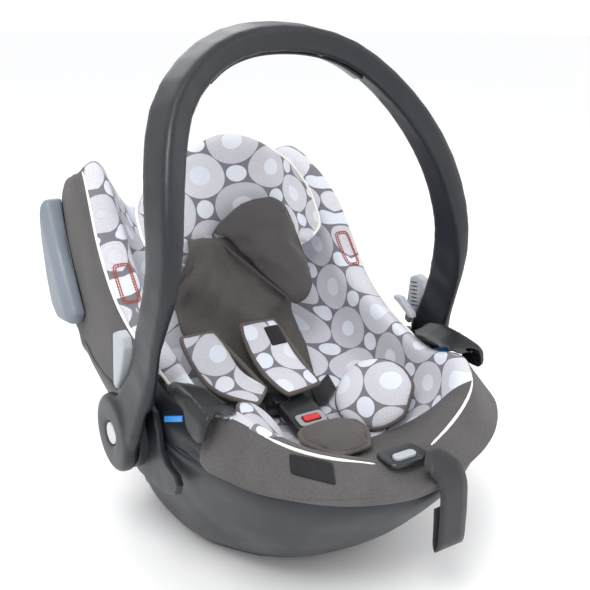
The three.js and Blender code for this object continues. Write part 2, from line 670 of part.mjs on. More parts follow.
function hoodRing([y, x0, x1, top, under, edge]) {
  const [mid, side] = [(x0 + x1) / 2, top - edge];
  const inner = [Math.max(under + 0.8, top - 12), Math.max(under + 1.6, top - 8.5)];
  const ring = [[x0, under], [x0, inner[0]], [x0 + 7, inner[1]], [mid, top - 4], [x1 - 9, top],
    [x1 - 2, top - 0.3 * side], [x1, edge + 0.25 * side], [x1 - 1.5, edge], [x1 - 5, edge],
    [x1 - 6.5, edge + Math.max(0.6, side - 14)], [x1 - 12, under + 0.5], [mid, under + 0.5]];
  return ring.map(([x, z]) => V(x, y, Math.max(z, Math.min(under, edge))));
}

function addTrim() {
  const hood = loft(HOOD.map(hoodRing));
  addPair('belt_hood', hood, 'black');
  addPair('belt_guide', sidePlate([[-149, 218.5], [-106, 200], [-106, 193], [-149, 211.5]],
    188.5, 191, [], 0.6), 'blue');
  addPair('canopy_clip', sidePlate(CANOPY_CLIP, 177.5, 187, [], 1.5), 'light');
  addPair('side_impact_block', sidePlate(SIDE_BLOCK, SIDE_X + 0.6, 213, [], 9), 'block');
}

function addHeadrest() {
  const guide = (n) => [[-34, -16], [-34, 84], [34, 84], [34, -16]].map(([x, s]) => back(x, n, s));
  add('headrest_guide', loft([guide(1.5), guide(6)]), 'black');
  add('headrest_shell', headrestShell(), 'plastic');
  add('headrest_pad', headrestPad(), 'pattern');
  add('head_pillow', headPillow(), 'jersey');
}

// Newborn insert: lower rows on the seat, then rows up the back that lie over the headrest's
// lower edge and drop to the lining beside it.
const INSERT_T = 10;
const INSERT_SEAT = [
  { y: -54, z: 134.3, near: -45, far: 42, rise: 5 }, { y: -34, z: 139.3, near: -66, far: 58, rise: 4 },
  { y: -6, z: 159.3, near: -83, far: 66, rise: 3 }, { y: 14, z: 182, near: -90, far: 67, rise: 4 },
];
const INSERT_BACK = [
  { s: -14, near: -93, far: 66 }, { s: 10, near: -94, far: 65 }, { s: 34, near: -94, far: 63 },
  { s: 58, near: -91, far: 61 }, { s: 78, near: -82, far: 59 }, { s: 102, near: -76, far: 57 },
];

function backInsert() {
  const columns = 12;
  const seatPath = [...INSERT_SEAT.map(({ y, z }) => [0, y, z]), ...INSERT_BACK.slice(0, 1).map(({ s }) => (
    back(0, padFace(0, s) + 5.5, s)))];
  const path = curve(seatPath);
  const grid = (top) => {
    const lift = (x, near, far) => {
      const u = (2 * (x - near)) / (far - near) - 1;
      return top ? INSERT_T * (1 - 0.55 * u * u) : 0;
    };
    const acrossRow = (row, place) => Array.from({ length: columns + 1 }, (_, k) => {
      const x = row.near + ((row.far - row.near) * k) / columns;
      return place(x, lift(x, row.near, row.far));
    });
    const seatRows = INSERT_SEAT.map((row, i) => {
      const tangent = path.getTangent(i / INSERT_SEAT.length);
      const normal = V(0, -tangent.z, tangent.y);
      return acrossRow(row, (x, h) => {
        const n = row.rise * Math.min(2, (x / row.far) ** 2) - 4 * smooth(-x, 56, 90);
        return V(x, row.y, row.z).addScaledVector(normal, n + h);
      });
    });
    const backRows = INSERT_BACK.map((row) => acrossRow(row, (x, h) => {
      const beside = smooth(Math.abs(x), reachAt(row.s) + 3, reachAt(row.s) + 34);
      const over = padFace(x, row.s) + 6;
      return back(x, over + (Math.min(over, 21) - over) * beside + h, row.s);
    }));
    return [...seatRows, ...backRows];
  };
  return slab(grid(true), grid(false));
}

// Round hip cushion: a thick disc in the plane of the directions along and up.
function hugger(x, y, z, size = 1) {
  const out = V(-0.6, -0.35, 0.72).normalize();
  const along = V(0, 0, 1).cross(out).normalize();
  const up = out.clone().cross(along);
  const sections = [[-47, 34, 10], [-36, 68, 22], [-15, 91, 30], [9, 92, 31], [31, 74, 26], [45, 42, 14]];
  return bar(sections.map(([t, w, h]) => (
    { p: V(x, y, z).addScaledVector(along, t * size), w: w * size, h: h * size })), up, 2.2);
}

function addInserts() {
  add('back_insert', backInsert(), 'taupe');
  add('hugger_wing_left', hugger(72, -133, 174), 'pattern');
  add('hugger_wing_right', mirrored(hugger(86, -132, 169, 0.8)), 'pattern');
  const crotch = curvedPad([[22, -206, 149, 1], [36, -188, 152, 1], [42, -168, 154, 1],
    [38, -148, 153, 1], [24, -136, 150, 1]], 9);
  add('crotch_pad', placed(crotch, -10, 0, 0), 'taupe');
}

// Buckle frame: local x across, y up the child's belly, z off the buckle's back.
const BUCKLE = { x: -10, y: -101, z: 146, tilt: 0.3 };

function onBuckle(geometry, x, y, z) {
  const c = Math.cos(BUCKLE.tilt);
  const s = Math.sin(BUCKLE.tilt);
  return placed(geometry, BUCKLE.x + x, BUCKLE.y + y * c - z * s, BUCKLE.z + y * s + z * c, BUCKLE.tilt);
}

function addBuckle() {
  const pocket = placed(roundedBox(23, 10, 9, 3, 0.6), 0, -14, 9);
  add('buckle_housing', onBuckle(cut(roundedBox(46, 54, 14, 6, 2), pocket), 0, 0, 0), 'black');
  const window = placed(roundedBox(25, 12, 9, 3, 0.6), 0, 0, -2);
  add('buckle_cover', onBuckle(cut(roundedBox(38, 20, 2.4, 5, 0.6), window), 0, -14, 14 + GAP), 'light');
  add('buckle_button', onBuckle(roundedBox(21.6, 8.6, 5.4, 2.5, 0.6), 0, -14, 13), 'red');
  for (const [side, sign] of [['left', 1], ['right', -1]]) {
    add(`buckle_tongue_${side}`, onBuckle(roundedBox(20, 16, 5, 4, 0.8), sign * 12, 36.5, 5), 'black');
  }
  const crotchLine = [[-10, -119, 139.4], [-10, -125, 137.5], [-10, -131, 135.7]];
  add('crotch_strap', strap(crotchLine, 32, STRAP_T, V(1, 0, 0), 2), 'webbing');
}

function addHarness() {
  addBuckle();
  const near = [[-18, -53, 157.5], [-40, -42, 161]];
  const far = [[2, -54, 160], [4, -42, 166]];
  add('shoulder_strap_right', strap(near, STRAP_W, STRAP_T, V(1, 0, 0), 2), 'webbing');
  add('shoulder_strap_left', strap(far, STRAP_W, STRAP_T, V(1, 0, 0), 2), 'webbing');
  const padLeft = [[-7, 9, 232], [-6, -20, 207], [-3, -50, 189], [2, -82, 178.5]];
  const padRight = [[-93, 8, 232], [-89, -20, 210], [-79, -50, 190], [-54, -74, 179]];
  const pad = (line, side) => bar(line.map(([x, y, z], i) => (
    { p: V(x, y, z), w: i % 3 === 0 ? 56 : 64, h: i % 3 === 0 ? 9 : 13 })), side, 3.2);
  add('shoulder_pad_left', pad(padLeft, V(1, 0.1, 0)), 'pattern');
  add('shoulder_pad_right', pad(padRight, V(0.97, 0, -0.25)), 'pattern');
  const lap = (points) => strap(points, STRAP_W, STRAP_T, V(0, 0.5, 0.86), 4);
  add('lap_strap_left', lap([[34, -60, 150], [52, -54, 151], [74, -42, 155]]), 'webbing');
  add('lap_strap_right', lap([[-44, -72, 152], [-66, -78, 156], [-100, -84, 168]]), 'webbing');
}

// Harness adjuster on the foot end's rim, with the webbing loop that tightens the harness.
function addAdjuster() {
  const frame = roundedBox(50, 34, 6, 9, 1.5);
  const pocket = placed(roundedBox(29, 12.4, 20, 5, 0.6), -2, -5, -5);
  add('adjuster_housing', placed(cut(frame, pocket), -3, -276, 176), 'black');
  add('adjuster_button', placed(roundedBox(27.6, 11, 6.4, 4.5, 0.8), -5, -281, 178.4), 'light');
  add('adjuster_strap', strap([[10, -296, 181.5], [18, -303, 179], [27, -312.5, 169], [32, -316.5, 155],
    [34, -317.5, 130], [35, -317, 104], [35, -316, 84], [35, -312.5, 78], [35, -309.5, 84],
    [35, -308.5, 104], [34, -308.5, 128]], 37, STRAP_T, V(1, 0, 0), 30), 'webbing');
  add('splitter_plate', placed(roundedBox(58, 30, 3, 6, 0.6), 0, 96, 150, 0.9), 'steel');
}

addShell();
addHandle();
addTrim();
addHeadrest();
addInserts();
addHarness();
addAdjuster();

export default group;
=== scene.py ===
import math

import bmesh
import bpy
import numpy as np
from mathutils import Matrix, Vector, noise
from mathutils.bvhtree import BVHTree


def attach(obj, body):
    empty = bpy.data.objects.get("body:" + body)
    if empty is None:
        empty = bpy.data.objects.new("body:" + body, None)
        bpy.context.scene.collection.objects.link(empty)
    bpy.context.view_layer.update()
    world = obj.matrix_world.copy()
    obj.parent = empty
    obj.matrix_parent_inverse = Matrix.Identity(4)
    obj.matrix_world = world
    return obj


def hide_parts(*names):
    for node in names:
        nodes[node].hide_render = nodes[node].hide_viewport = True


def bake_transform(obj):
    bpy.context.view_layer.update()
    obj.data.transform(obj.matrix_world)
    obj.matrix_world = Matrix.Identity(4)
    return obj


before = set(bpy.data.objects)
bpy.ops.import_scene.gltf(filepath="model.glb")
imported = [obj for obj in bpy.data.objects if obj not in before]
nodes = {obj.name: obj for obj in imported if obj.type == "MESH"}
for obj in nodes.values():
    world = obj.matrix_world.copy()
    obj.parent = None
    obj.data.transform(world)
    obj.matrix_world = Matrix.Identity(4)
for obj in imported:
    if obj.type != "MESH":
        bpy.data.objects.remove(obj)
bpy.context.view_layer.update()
scene = bpy.context.scene


# ---------------------------------------------------------------- camera and light
def make_camera():
    """The camera, aimed by azimuth, elevation and roll in degrees."""
    az, el, roll = (math.radians(a) for a in (-33.0, 18.15, 0.81))
    back = Vector((math.sin(az) * math.cos(el), -math.cos(az) * math.cos(el), math.sin(el)))
    right = Vector((math.cos(az), math.sin(az), 0))
    up = back.cross(right)
    x_axis = math.cos(roll) * right + math.sin(roll) * up
    y_axis = -math.sin(roll) * right + math.cos(roll) * up
    data = bpy.data.cameras.new("camera")
    data.lens = 51.86
    data.sensor_width = 36
    data.clip_start, data.clip_end = 0.02, 40
    cam = bpy.data.objects.new("camera", data)
    scene.collection.objects.link(cam)
    turn = Matrix((x_axis, y_axis, back)).transposed().to_4x4()
    target = Vector((0.0005, -0.0638, 0.2921))
    cam.matrix_world = Matrix.Translation(target + back * 1.0085) @ turn
    scene.camera = cam


def area_light(name, place, look, size, power):
    """A round soft light at a place, turned to look at a point."""
    data = bpy.data.lights.new(name, "AREA")
    data.shape, data.size, data.energy = "DISK", size, power
    light = bpy.data.objects.new(name, data)
    scene.collection.objects.link(light)
    light.location = place
    light.rotation_euler = (Vector(look) - Vector(place)).to_track_quat("-Z", "Y").to_euler()


make_camera()
area_light("key", (-1.2, -1.1, 2.5), (0, 0, 0.2), 1.3, 40)
area_light("fill", (1.9, -1.2, 1.3), (0, 0, 0.25), 2.0, 9)
area_light("back", (0.3, 2.0, 1.9), (0, 0, 0.3), 1.6, 16)


# ---------------------------------------------------------------- small helpers
def srgb(code):
    """Linear colour of a hex code."""
    parts = [int(code[i:i + 2], 16) / 255 for i in (1, 3, 5)]
    return tuple(c / 12.92 if c <= 0.04045 else ((c + 0.055) / 1.055) ** 2.4 for c in parts) + (1,)


def verts_of(mesh):
    co = np.empty(len(mesh.vertices) * 3, np.float32)
    mesh.vertices.foreach_get("co", co)
    return co.reshape(-1, 3).astype(float)


def set_verts(mesh, co):
    mesh.vertices.foreach_set("co", np.asarray(co, np.float32).ravel())
    mesh.update()


def link(name, mesh, body="seat", slot=None, replaces=()):
    """Adds a piece to the scene and says which body it rides on and which CAD nodes it replaces."""
    mesh.name = name
    obj = bpy.data.objects.new(name, mesh)
    scene.collection.objects.link(obj)
    mesh.shade_smooth()
    if body:
        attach(obj, body)
    for node in replaces:
        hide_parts(node)
    return obj


def set_material(obj, material):
    """Gives a piece one material in place of what it had."""
    obj.data.materials.clear()
    obj.data.materials.append(material)


def evaluated(obj):
    """A new mesh with the object's modifiers applied."""
    depsgraph = bpy.context.evaluated_depsgraph_get()
    return bpy.data.meshes.new_from_object(obj.evaluated_get(depsgraph))


def welded(node, quads=True, face_angle=50, shape_angle=70):
    """A copy of a CAD solid's mesh with shared vertices and, if asked, quads."""
    bm = bmesh.new()
    bm.from_mesh(nodes[node].data)
    bmesh.ops.remove_doubles(bm, verts=bm.verts, dist=2e-5)
    if quads:
        bmesh.ops.join_triangles(
            bm, faces=bm.faces[:], angle_face_threshold=math.radians(face_angle),
            angle_shape_threshold=math.radians(shape_angle))
    bmesh.ops.recalc_face_normals(bm, faces=bm.faces[:])
    mesh = bpy.data.meshes.new(node + "_m")
    bm.to_mesh(mesh)
    bm.free()
    return mesh


def crease(mesh, degrees, weight):
    """Marks edges sharper than so many degrees, so that subdivision keeps them."""
    bm = bmesh.new()
    bm.from_mesh(mesh)
    layer = bm.edges.layers.float.get("crease_edge") or bm.edges.layers.float.new("crease_edge")
    for e in bm.edges:
        if len(e.link_faces) == 2 and e.calc_face_angle(0) > math.radians(degrees):
            e[layer] = weight
    bm.to_mesh(mesh)
    bm.free()


def subdivided(mesh, levels=2, through=True):
    """Subdivision surface that passes through the given mesh's own points."""
    obj = bpy.data.objects.new("subdivide", mesh)
    scene.collection.objects.link(obj)
    mod = obj.modifiers.new("s", "SUBSURF")
    mod.levels = mod.render_levels = levels
    target = verts_of(mesh)
    if through:
        mod.levels = 2
        cage = target.copy()
        for _ in range(5):
            bpy.context.view_layer.update()
            now = verts_of(evaluated(obj))[:len(target)]
            step = target - now
            size = np.linalg.norm(step, axis=1, keepdims=True)
            cage += step * np.minimum(1, 0.012 / np.maximum(size, 1e-9))
            set_verts(mesh, cage)
        mod.levels = levels
    bpy.context.view_layer.update()
    out = evaluated(obj)
    bpy.data.objects.remove(obj)
    return out


def bevelled(mesh, width, degrees, segments=3):
    """The mesh with its edges sharper than so many degrees rounded off."""
    obj = bpy.data.objects.new("bevel", mesh)
    scene.collection.objects.link(obj)
    mod = obj.modifiers.new("b", "BEVEL")
    mod.width, mod.segments, mod.limit_method = width, segments, "ANGLE"
    mod.angle_limit = math.radians(degrees)
    mod.harden_normals = False
    bpy.context.view_layer.update()
    out = evaluated(obj)
    bpy.data.objects.remove(obj)
    return out


def flattened(mesh, degrees=2):
    """Joins faces that lie within so many degrees of one plane."""
    bm = bmesh.new()
    bm.from_mesh(mesh)
    bmesh.ops.dissolve_limit(bm, angle_limit=math.radians(degrees), verts=bm.verts[:], edges=bm.edges[:])
    bm.to_mesh(mesh)
    bm.free()
    return mesh


def rigid(node, material, slot, body="seat", bevel=0.0009, degrees=28):
    """A hard piece: the CAD solid with rounded edges and smooth curved faces."""
    mesh = bevelled(flattened(welded(node, quads=False)), bevel, degrees)
    obj = link(node + "_v", mesh, body, slot, [node])
    mesh.set_sharp_from_angle(angle=math.radians(38))
    set_material(obj, material)


def soft(node, material, slot, body="seat", levels=2, angle=None):
    """A smooth piece: a subdivision surface through the CAD solid's own points."""
    mesh = welded(node)
    if angle:
        crease(mesh, angle, 0.6)
    mesh = subdivided(mesh, levels)
    obj = link(node + "_v", mesh, body, slot, [node])
    set_material(obj, material)
    return obj


def mesh_from(name, verts, faces):
    """A mesh from plain lists of points and faces."""
    mesh = bpy.data.meshes.new(name)
    mesh.from_pydata([tuple(v) for v in verts], [], faces)
    mesh.validate()
    mesh.update()
    return mesh


def resample(points, step, closed=False):
    """The path again, with points about step apart."""
    p = np.array(points, float)
    if closed:
        p = np.vstack([p, p[:1]])
    seg = np.linalg.norm(np.diff(p, axis=0), axis=1)
    s = np.concatenate([[0], np.cumsum(seg)])
    count = max(4, int(round(s[-1] / step)))
    t = np.linspace(0, s[-1], count + 1)
    out = np.stack([np.interp(t, s, p[:, k]) for k in range(3)], 1)
    return out[:-1] if closed else out


def smoothed(points, rounds=3, closed=False):
    """The path with its corners worn down, rounds times."""
    p = np.array(points, float)
    for _ in range(rounds):
        if closed:
            p = (np.roll(p, 1, 0) + 2 * p + np.roll(p, -1, 0)) / 4
        else:
            p[1:-1] = (p[:-2] + 2 * p[1:-1] + p[2:]) / 4
    return p


def frames_along(p, closed):
    """Tangent and two steady sideways axes at each point of a path."""
    if closed:
        tangent = np.roll(p, -1, 0) - np.roll(p, 1, 0)
    else:
        tangent = np.gradient(p, axis=0)
    tangent /= np.linalg.norm(tangent, axis=1, keepdims=True)
    side = np.cross(tangent[0], (0, 0, 1))
    if np.linalg.norm(side) < 0.1:
        side = np.cross(tangent[0], (0, 1, 0))
    sides = []
    for t in tangent:
        side = side - t * (side @ t)
        side /= np.linalg.norm(side)
        sides.append(side.copy())
    sides = np.array(sides)
    return tangent, sides, np.cross(tangent, sides)


def tube_mesh(name, points, radius, closed=False, sides=10, step=0.003, taper=False):
    """A closed round cord along a path, joined end to end or capped, and thinner at the ends if asked."""
    p = resample(smoothed(points, 2, closed), step, closed)
    _, a, b = frames_along(p, closed)
    n = len(p)
    angles = np.arange(sides) * 2 * math.pi / sides
    r = np.full(n, radius)
    if taper and not closed:
        ends = np.minimum(np.arange(n), np.arange(n)[::-1])
        r = radius * np.sqrt(np.clip((ends + 0.3) / 3, 0.1, 1))
    ring = np.stack([
        p[:, None] + r[:, None, None] * (np.cos(angles)[None, :, None] * a[:, None]
                                         + np.sin(angles)[None, :, None] * b[:, None])], 0)[0]
    faces = []
    for i in range(n if closed else n - 1):
        j = (i + 1) % n
        for k in range(sides):
            m = (k + 1) % sides
            faces.append((i * sides + k, i * sides + m, j * sides + m, j * sides + k))
    if not closed:
        faces.append(tuple(range(sides))[::-1])
        faces.append(tuple((n - 1) * sides + k for k in range(sides)))
    return mesh_from(name, ring.reshape(-1, 3), faces)


def tube(name, points, radius, material, body="seat", slot=None, **kw):
    obj = link(name, tube_mesh(name, points, radius, **kw), body, slot)
    obj.data.materials.append(material)
    return obj


def stitches(name, points, normal, material, pitch, length, radius):
    """A closed row of sewn stitches: one small spindle for each, lying along the path."""
    p = resample(points, pitch, True)
    tangent, _, _ = frames_along(p, True)
    profile = [(-0.5, 0.25), (-0.32, 0.85), (0, 1), (0.32, 0.85), (0.5, 0.25)]
    verts, faces, sides = [], [], 6
    for i, centre in enumerate(p):
        t = tangent[i]
        across = np.cross(t, normal)
        across /= np.linalg.norm(across)
        up = np.cross(across, t)
        base = len(verts)
        for along, r in profile:
            for k in range(sides):
                q = 2 * math.pi * k / sides
                offset = across * math.cos(q) + up * math.sin(q)
                verts.append(centre + t * along * length + offset * r * radius)
        for j in range(len(profile) - 1):
            for k in range(sides):
                m = (k + 1) % sides
                a, b = base + j * sides, base + (j + 1) * sides
                faces.append((a + k, a + m, b + m, b + k))
        faces.append(tuple(base + k for k in range(sides))[::-1])
        faces.append(tuple(base + (len(profile) - 1) * sides + k for k in range(sides)))
    link(name, mesh_from(name, verts, faces)).data.materials.append(material)


def tree_of(obj):
    """Ray-casting tree of a piece's mesh."""
    bm = bmesh.new()
    bm.from_mesh(obj.data)
    tree = BVHTree.FromBMesh(bm)
    bm.free()
    return tree


def on_surface(tree, point, direction, lift=0.0004):
    """Where a line from point along direction meets the surface, and the normal there."""
    d = Vector(direction).normalized()
    hit, normal, _, _ = tree.ray_cast(Vector(point), d, 0.6)
    if hit is None:
        hit, normal, _, _ = tree.find_nearest(Vector(point))
    if normal.dot(d) > 0:
        normal = -normal
    return np.array(hit + normal * lift), np.array(normal)


def paint(obj, mapping):
    """Keeps each vertex's place on the printed cloth, in metres, as a named attribute."""
    co = verts_of(obj.data)
    uv = np.zeros((len(co), 3), np.float32)
    uv[:, :2] = mapping(co)
    attribute = obj.data.attributes.get("cloth")
    if attribute is None:
        attribute = obj.data.attributes.new("cloth", "FLOAT_VECTOR", "POINT")
    attribute.data.foreach_set("vector", uv.ravel())


def rumple(obj, amount, scale, seed):
    """Low folds and unevenness in cloth, moved along the surface's own normals."""
    mesh = obj.data
    co = verts_of(mesh)
    normals = np.empty(len(co) * 3, np.float32)
    mesh.vertices.foreach_get("normal", normals)
    normals = normals.reshape(-1, 3)
    shift = np.array([noise.noise(Vector(c) * scale + Vector((seed, seed * 2, -seed))) for c in co])
    set_verts(mesh, co + normals * (shift * amount)[:, None])


def outline_of(obj, a, b, count=72, inset=0.0):
    """The widest line round a rounded piece, seen along the third axis."""
    co = verts_of(obj.data)
    a, b = np.array(a, float), np.array(b, float)
    a /= np.linalg.norm(a)
    b -= a * (a @ b)
    b /= np.linalg.norm(b)
    centre = co.mean(0)
    points = []
    for k in range(count):
        q = 2 * math.pi * k / count
        d = math.cos(q) * a + math.sin(q) * b
        score = (co - centre) @ d
        best = co[np.argsort(score)[-6:]].mean(0)
        points.append(best - d * inset)
    return smoothed(points, 2, True)


def ridge(obj, centre, angles, score, width=1.4):
    """For each plan angle about centre, the vertex that score likes best."""
    co = verts_of(obj.data)
    phi = np.degrees(np.arctan2(co[:, 0] - centre[0], -(co[:, 1] - centre[1])))
    value = score(co)
    points = []
    for q in angles:
        near = np.where(np.abs(phi - q) < width)[0]
        if len(near):
            points.append(co[near[np.argmax(value[near])]])
    return np.array(points)


# ---------------------------------------------------------------- materials
class Shade:
    """A short hand for building one node material."""

    def __init__(self, name):
        self.mat = bpy.data.materials.new(name)
        self.mat.use_nodes = True
        self.tree = self.mat.node_tree
        self.tree.nodes.clear()
        self.out = self.tree.nodes.new("ShaderNodeOutputMaterial")
        self.bsdf = self.tree.nodes.new("ShaderNodeBsdfPrincipled")
        self.tree.links.new(self.bsdf.outputs[0], self.out.inputs["Surface"])

    def put(self, socket, value):
        if isinstance(value, bpy.types.NodeSocket):
            self.tree.links.new(value, socket)
        elif isinstance(value, str):
            socket.default_value = srgb(value)
        else:
            socket.default_value = value

    def add(self, kind, inputs=None, out=0, **props):
        node = self.tree.nodes.new("ShaderNode" + kind)
        for key, value in props.items():
            setattr(node, key, value)
        for key, value in (inputs or {}).items():
            self.put(node.inputs[key], value)
        return node.outputs[out]

    def set(self, **values):
        for key, value in values.items():
            self.put(self.bsdf.inputs[key.replace("_", " ")], value)

    def math(self, op, a, b=0.0, c=0.0):
        return self.add("Math", {0: a, 1: b, 2: c}, operation=op)

    def vec(self, op, a, b=(0, 0, 0), out=0):
        return self.add("VectorMath", {0: a, 1: b}, out=out, operation=op)

    def step(self, value, low, high, to=(0.0, 1.0)):
        return self.add("MapRange", {"Value": value, "From Min": low, "From Max": high,
                                     "To Min": to[0], "To Max": to[1]}, interpolation_type="SMOOTHSTEP")

    def mix(self, share, a, b):
        node = self.tree.nodes.new("ShaderNodeMix")
        node.data_type = "RGBA"
        self.put(node.inputs[0], share)
        self.put(node.inputs[6], a)
        self.put(node.inputs[7], b)
        return node.outputs[2]

    def place(self):
        return self.add("TexCoord", out=3)

    def noise(self, scale, detail=2.0, vector=None, out=0, rough=0.5):
        return self.add("TexNoise", {"Scale": scale, "Detail": detail, "Roughness": rough,
                                     "Vector": vector or self.place()}, out=out)

    def bump(self, height, strength, distance, normal=None):
        inputs = {"Height": height, "Strength": strength, "Distance": distance}
        if normal is not None:
            inputs["Normal"] = normal
        return self.add("Bump", inputs)


THREAD_PITCH = 0.0011


def weave(s, pitch):
    """Height of a plain weave: two sets of yarns crossing over each other."""
    xyz = s.tree.nodes.new("ShaderNodeSeparateXYZ")
    s.put(xyz.inputs[0], s.place())
    k = 2 * math.pi / pitch
    a = s.math("SINE", s.math("MULTIPLY", s.math("ADD", xyz.outputs[0], xyz.outputs[1]), k * 0.8))
    b = s.math("SINE", s.math("MULTIPLY", s.math("SUBTRACT", xyz.outputs[2], xyz.outputs[1]), k * 0.8))
    return s.math("MULTIPLY", a, b)


def melange(s, light, dark, pitch=THREAD_PITCH):
    """Heathered cloth: fine speckles of two yarns with slow changes of tone, and its weave."""
    fine = s.noise(1900, 3)
    streak = s.noise(1, 2, s.vec("MULTIPLY", s.place(), (700, 700, 1700)))
    slow = s.noise(30, 3)
    tone = s.math("ADD", s.math("MULTIPLY", fine, 0.5), s.math("MULTIPLY", streak, 0.5))
    tone = s.math("ADD", s.step(tone, 0.3, 0.7), s.step(slow, 0.3, 0.7, (-0.1, 0.1)))
    return s.mix(tone, dark, light), s.math("ADD", weave(s, pitch), s.math("MULTIPLY", fine, 1.6))


def cloth_material(name, light, dark, pitch=THREAD_PITCH, strength=0.55):
    """Plain heathered cloth with low folds and a woven surface."""
    s = Shade(name)
    colour, height = melange(s, light, dark, pitch)
    folds = s.bump(s.noise(46, 3), 0.5, 0.0012)
    s.set(Base_Color=colour, Roughness=0.92, Sheen_Weight=0.12, Sheen_Roughness=0.5,
          Normal=s.bump(height, strength, 0.00022, folds), Specular_IOR_Level=0.25)
    return s.mat


PITCH = 0.0625


def circles(s):
    """Printed cloth: big circles that touch, pale centres, small pale circles and dark gaps."""
    place = s.add("Attribute", out=1, attribute_name="cloth")
    drift = s.vec("SUBTRACT", s.noise(11, 0, place, out=1), (0.5, 0.5, 0.5))
    place = s.vec("ADD", place, s.vec("MULTIPLY", drift, (0.012, 0.012, 0)))
    cell = s.add("Mapping", {"Vector": place, "Rotation": (0, 0, math.radians(40)),
                             "Scale": (1 / PITCH, 1 / PITCH, 1)})
    middle = s.vec("SUBTRACT", s.vec("FRACTION", cell), (0.5, 0.5, 0))
    far = s.vec("LENGTH", middle, out=1)
    shifted = s.vec("ADD", cell, (0.5, 0.5, 0))
    corner = s.vec("LENGTH", s.vec("SUBTRACT", s.vec("FRACTION", shifted), (0.5, 0.5, 0)), out=1)
    own = s.add("TexWhiteNoise", {"Vector": s.vec("FLOOR", cell)}, noise_dimensions="2D")
    big = s.step(far, 0.486, 0.496, (1, 0))
    dot = s.step(s.math("SUBTRACT", far, s.math("MULTIPLY", own, 0.05)), 0.166, 0.176, (1, 0))
    small = s.step(corner, 0.176, 0.186, (1, 0))
    wobble = s.math("MULTIPLY", s.noise(60, 2), 9)
    rings = s.math("SINE", s.math("ADD", s.math("MULTIPLY", far, 150), wobble))
    thread = s.noise(1100, 3)
    tone = s.math("ADD", s.math("MULTIPLY", rings, 0.07), s.math("MULTIPLY", thread, 0.95))
    tone = s.math("ADD", tone, s.math("MULTIPLY", own, 0.35))
    disc = s.mix(s.step(tone, 0.2, 1.05), "#aeaeb6", "#d6d5dd")
    gap = s.mix(thread, "#66646c", "#84828a")
    pale = s.mix(thread, "#cdd2dc", "#dfe3eb")
    colour = s.mix(small, s.mix(dot, s.mix(big, gap, disc), pale), pale)
    return colour, thread


TAUPE_LIGHT, TAUPE_DEEP = "#636060", "#484646"


def print_material(name, taupe_where=None):
    s = Shade(name)
    colour, thread = circles(s)
    if taupe_where:
        xyz = s.tree.nodes.new("ShaderNodeSeparateXYZ")
        s.put(xyz.inputs[0], s.place())
        level = s.math("ADD", xyz.outputs[1], s.math("MULTIPLY", xyz.outputs[2], taupe_where[1]))
        plain, _ = melange(s, TAUPE_LIGHT, TAUPE_DEEP)
        colour = s.mix(s.step(level, taupe_where[0] - 0.0003, taupe_where[0] + 0.0003), plain, colour)
    height = s.math("ADD", weave(s, THREAD_PITCH), s.math("MULTIPLY", thread, 1.2))
    folds = s.bump(s.noise(38, 3), 0.45, 0.0012)
    s.set(Base_Color=colour, Roughness=0.9, Sheen_Weight=0.1, Sheen_Roughness=0.5,
          Normal=s.bump(height, 0.4, 0.0002, folds), Specular_IOR_Level=0.25)
    return s.mat


def plastic(name, colour, rough, grain):
    """Moulded plastic: fine grain, slow changes of gloss, and edges rubbed a little paler."""
    s = Shade(name)
    base = srgb(colour)
    pale = tuple(min(1, c * 1.5 + 0.012) for c in base[:3]) + (1,)
    edge = s.step(s.add("NewGeometry", out=7), 0.53, 0.62)
    slow = s.noise(9, 4)
    worn = s.math("MULTIPLY", edge, s.step(s.noise(55, 3), 0.35, 0.75, (0.0, 0.35)))
    tint = s.mix(s.step(slow, 0.3, 0.7), base, tuple(min(1, c * 1.1) for c in base[:3]) + (1,))
    roughness = s.step(s.noise(24, 4), 0.25, 0.75, (rough - 0.05, rough + 0.07))
    pores = s.bump(s.noise(1900, 3, rough=0.6), grain, 0.00012)
    s.set(Base_Color=s.mix(worn, tint, pale), Roughness=roughness, Normal=pores)
    return s.mat


def metal(name, colour, rough, stretch):
    s = Shade(name)
    lines = s.noise(1, 3, s.vec("MULTIPLY", s.place(), stretch))
    s.set(Base_Color=s.mix(lines, srgb(colour), tuple(c * 0.82 for c in srgb(colour)[:3]) + (1,)),
          Metallic=1.0, Roughness=s.step(lines, 0.3, 0.7, (rough - 0.06, rough + 0.1)),
          Normal=s.bump(lines, 0.18, 0.0001))
    return s.mat


RIB_SPACING = 0.0017         # of the ribs across the harness webbing


def webbing_material(name):
    """Woven belt: ribs across it with a finer twill between."""
    s = Shade(name)
    place = s.add("Attribute", out=1, attribute_name="cloth")
    xyz = s.tree.nodes.new("ShaderNodeSeparateXYZ")
    s.put(xyz.inputs[0], place)
    ribs = s.math("SINE", s.math("MULTIPLY", xyz.outputs[1], 2 * math.pi / RIB_SPACING))
    slant = s.math("ADD", xyz.outputs[0], xyz.outputs[1])
    twill = s.math("SINE", s.math("MULTIPLY", slant, 2 * math.pi / THREAD_PITCH))
    height = s.math("ADD", ribs, s.math("MULTIPLY", twill, 0.5))
    # colour follows the weave's height plus random noise: painted shade in the grooves and painted
    # highlight on the rib tops
    tone = s.math("ADD", s.math("MULTIPLY", height, 0.18), s.noise(600, 2))
    s.set(Base_Color=s.mix(s.step(tone, 0.2, 0.9), srgb("#161719"), srgb("#26272a")), Roughness=0.62,
          Sheen_Weight=0.25, Sheen_Roughness=0.4, Normal=s.bump(height, 0.5, 0.0002))
    return s.mat


def thread_material(name, colour):
    s = Shade(name)
    twist = s.noise(1500, 2)
    pale = tuple(min(1, c * 1.35) for c in srgb(colour)[:3]) + (1,)
    s.set(Base_Color=s.mix(twist, srgb(colour), pale), Roughness=0.6, Sheen_Weight=0.3,
          Normal=s.bump(twist, 0.4, 0.0002))
    return s.mat


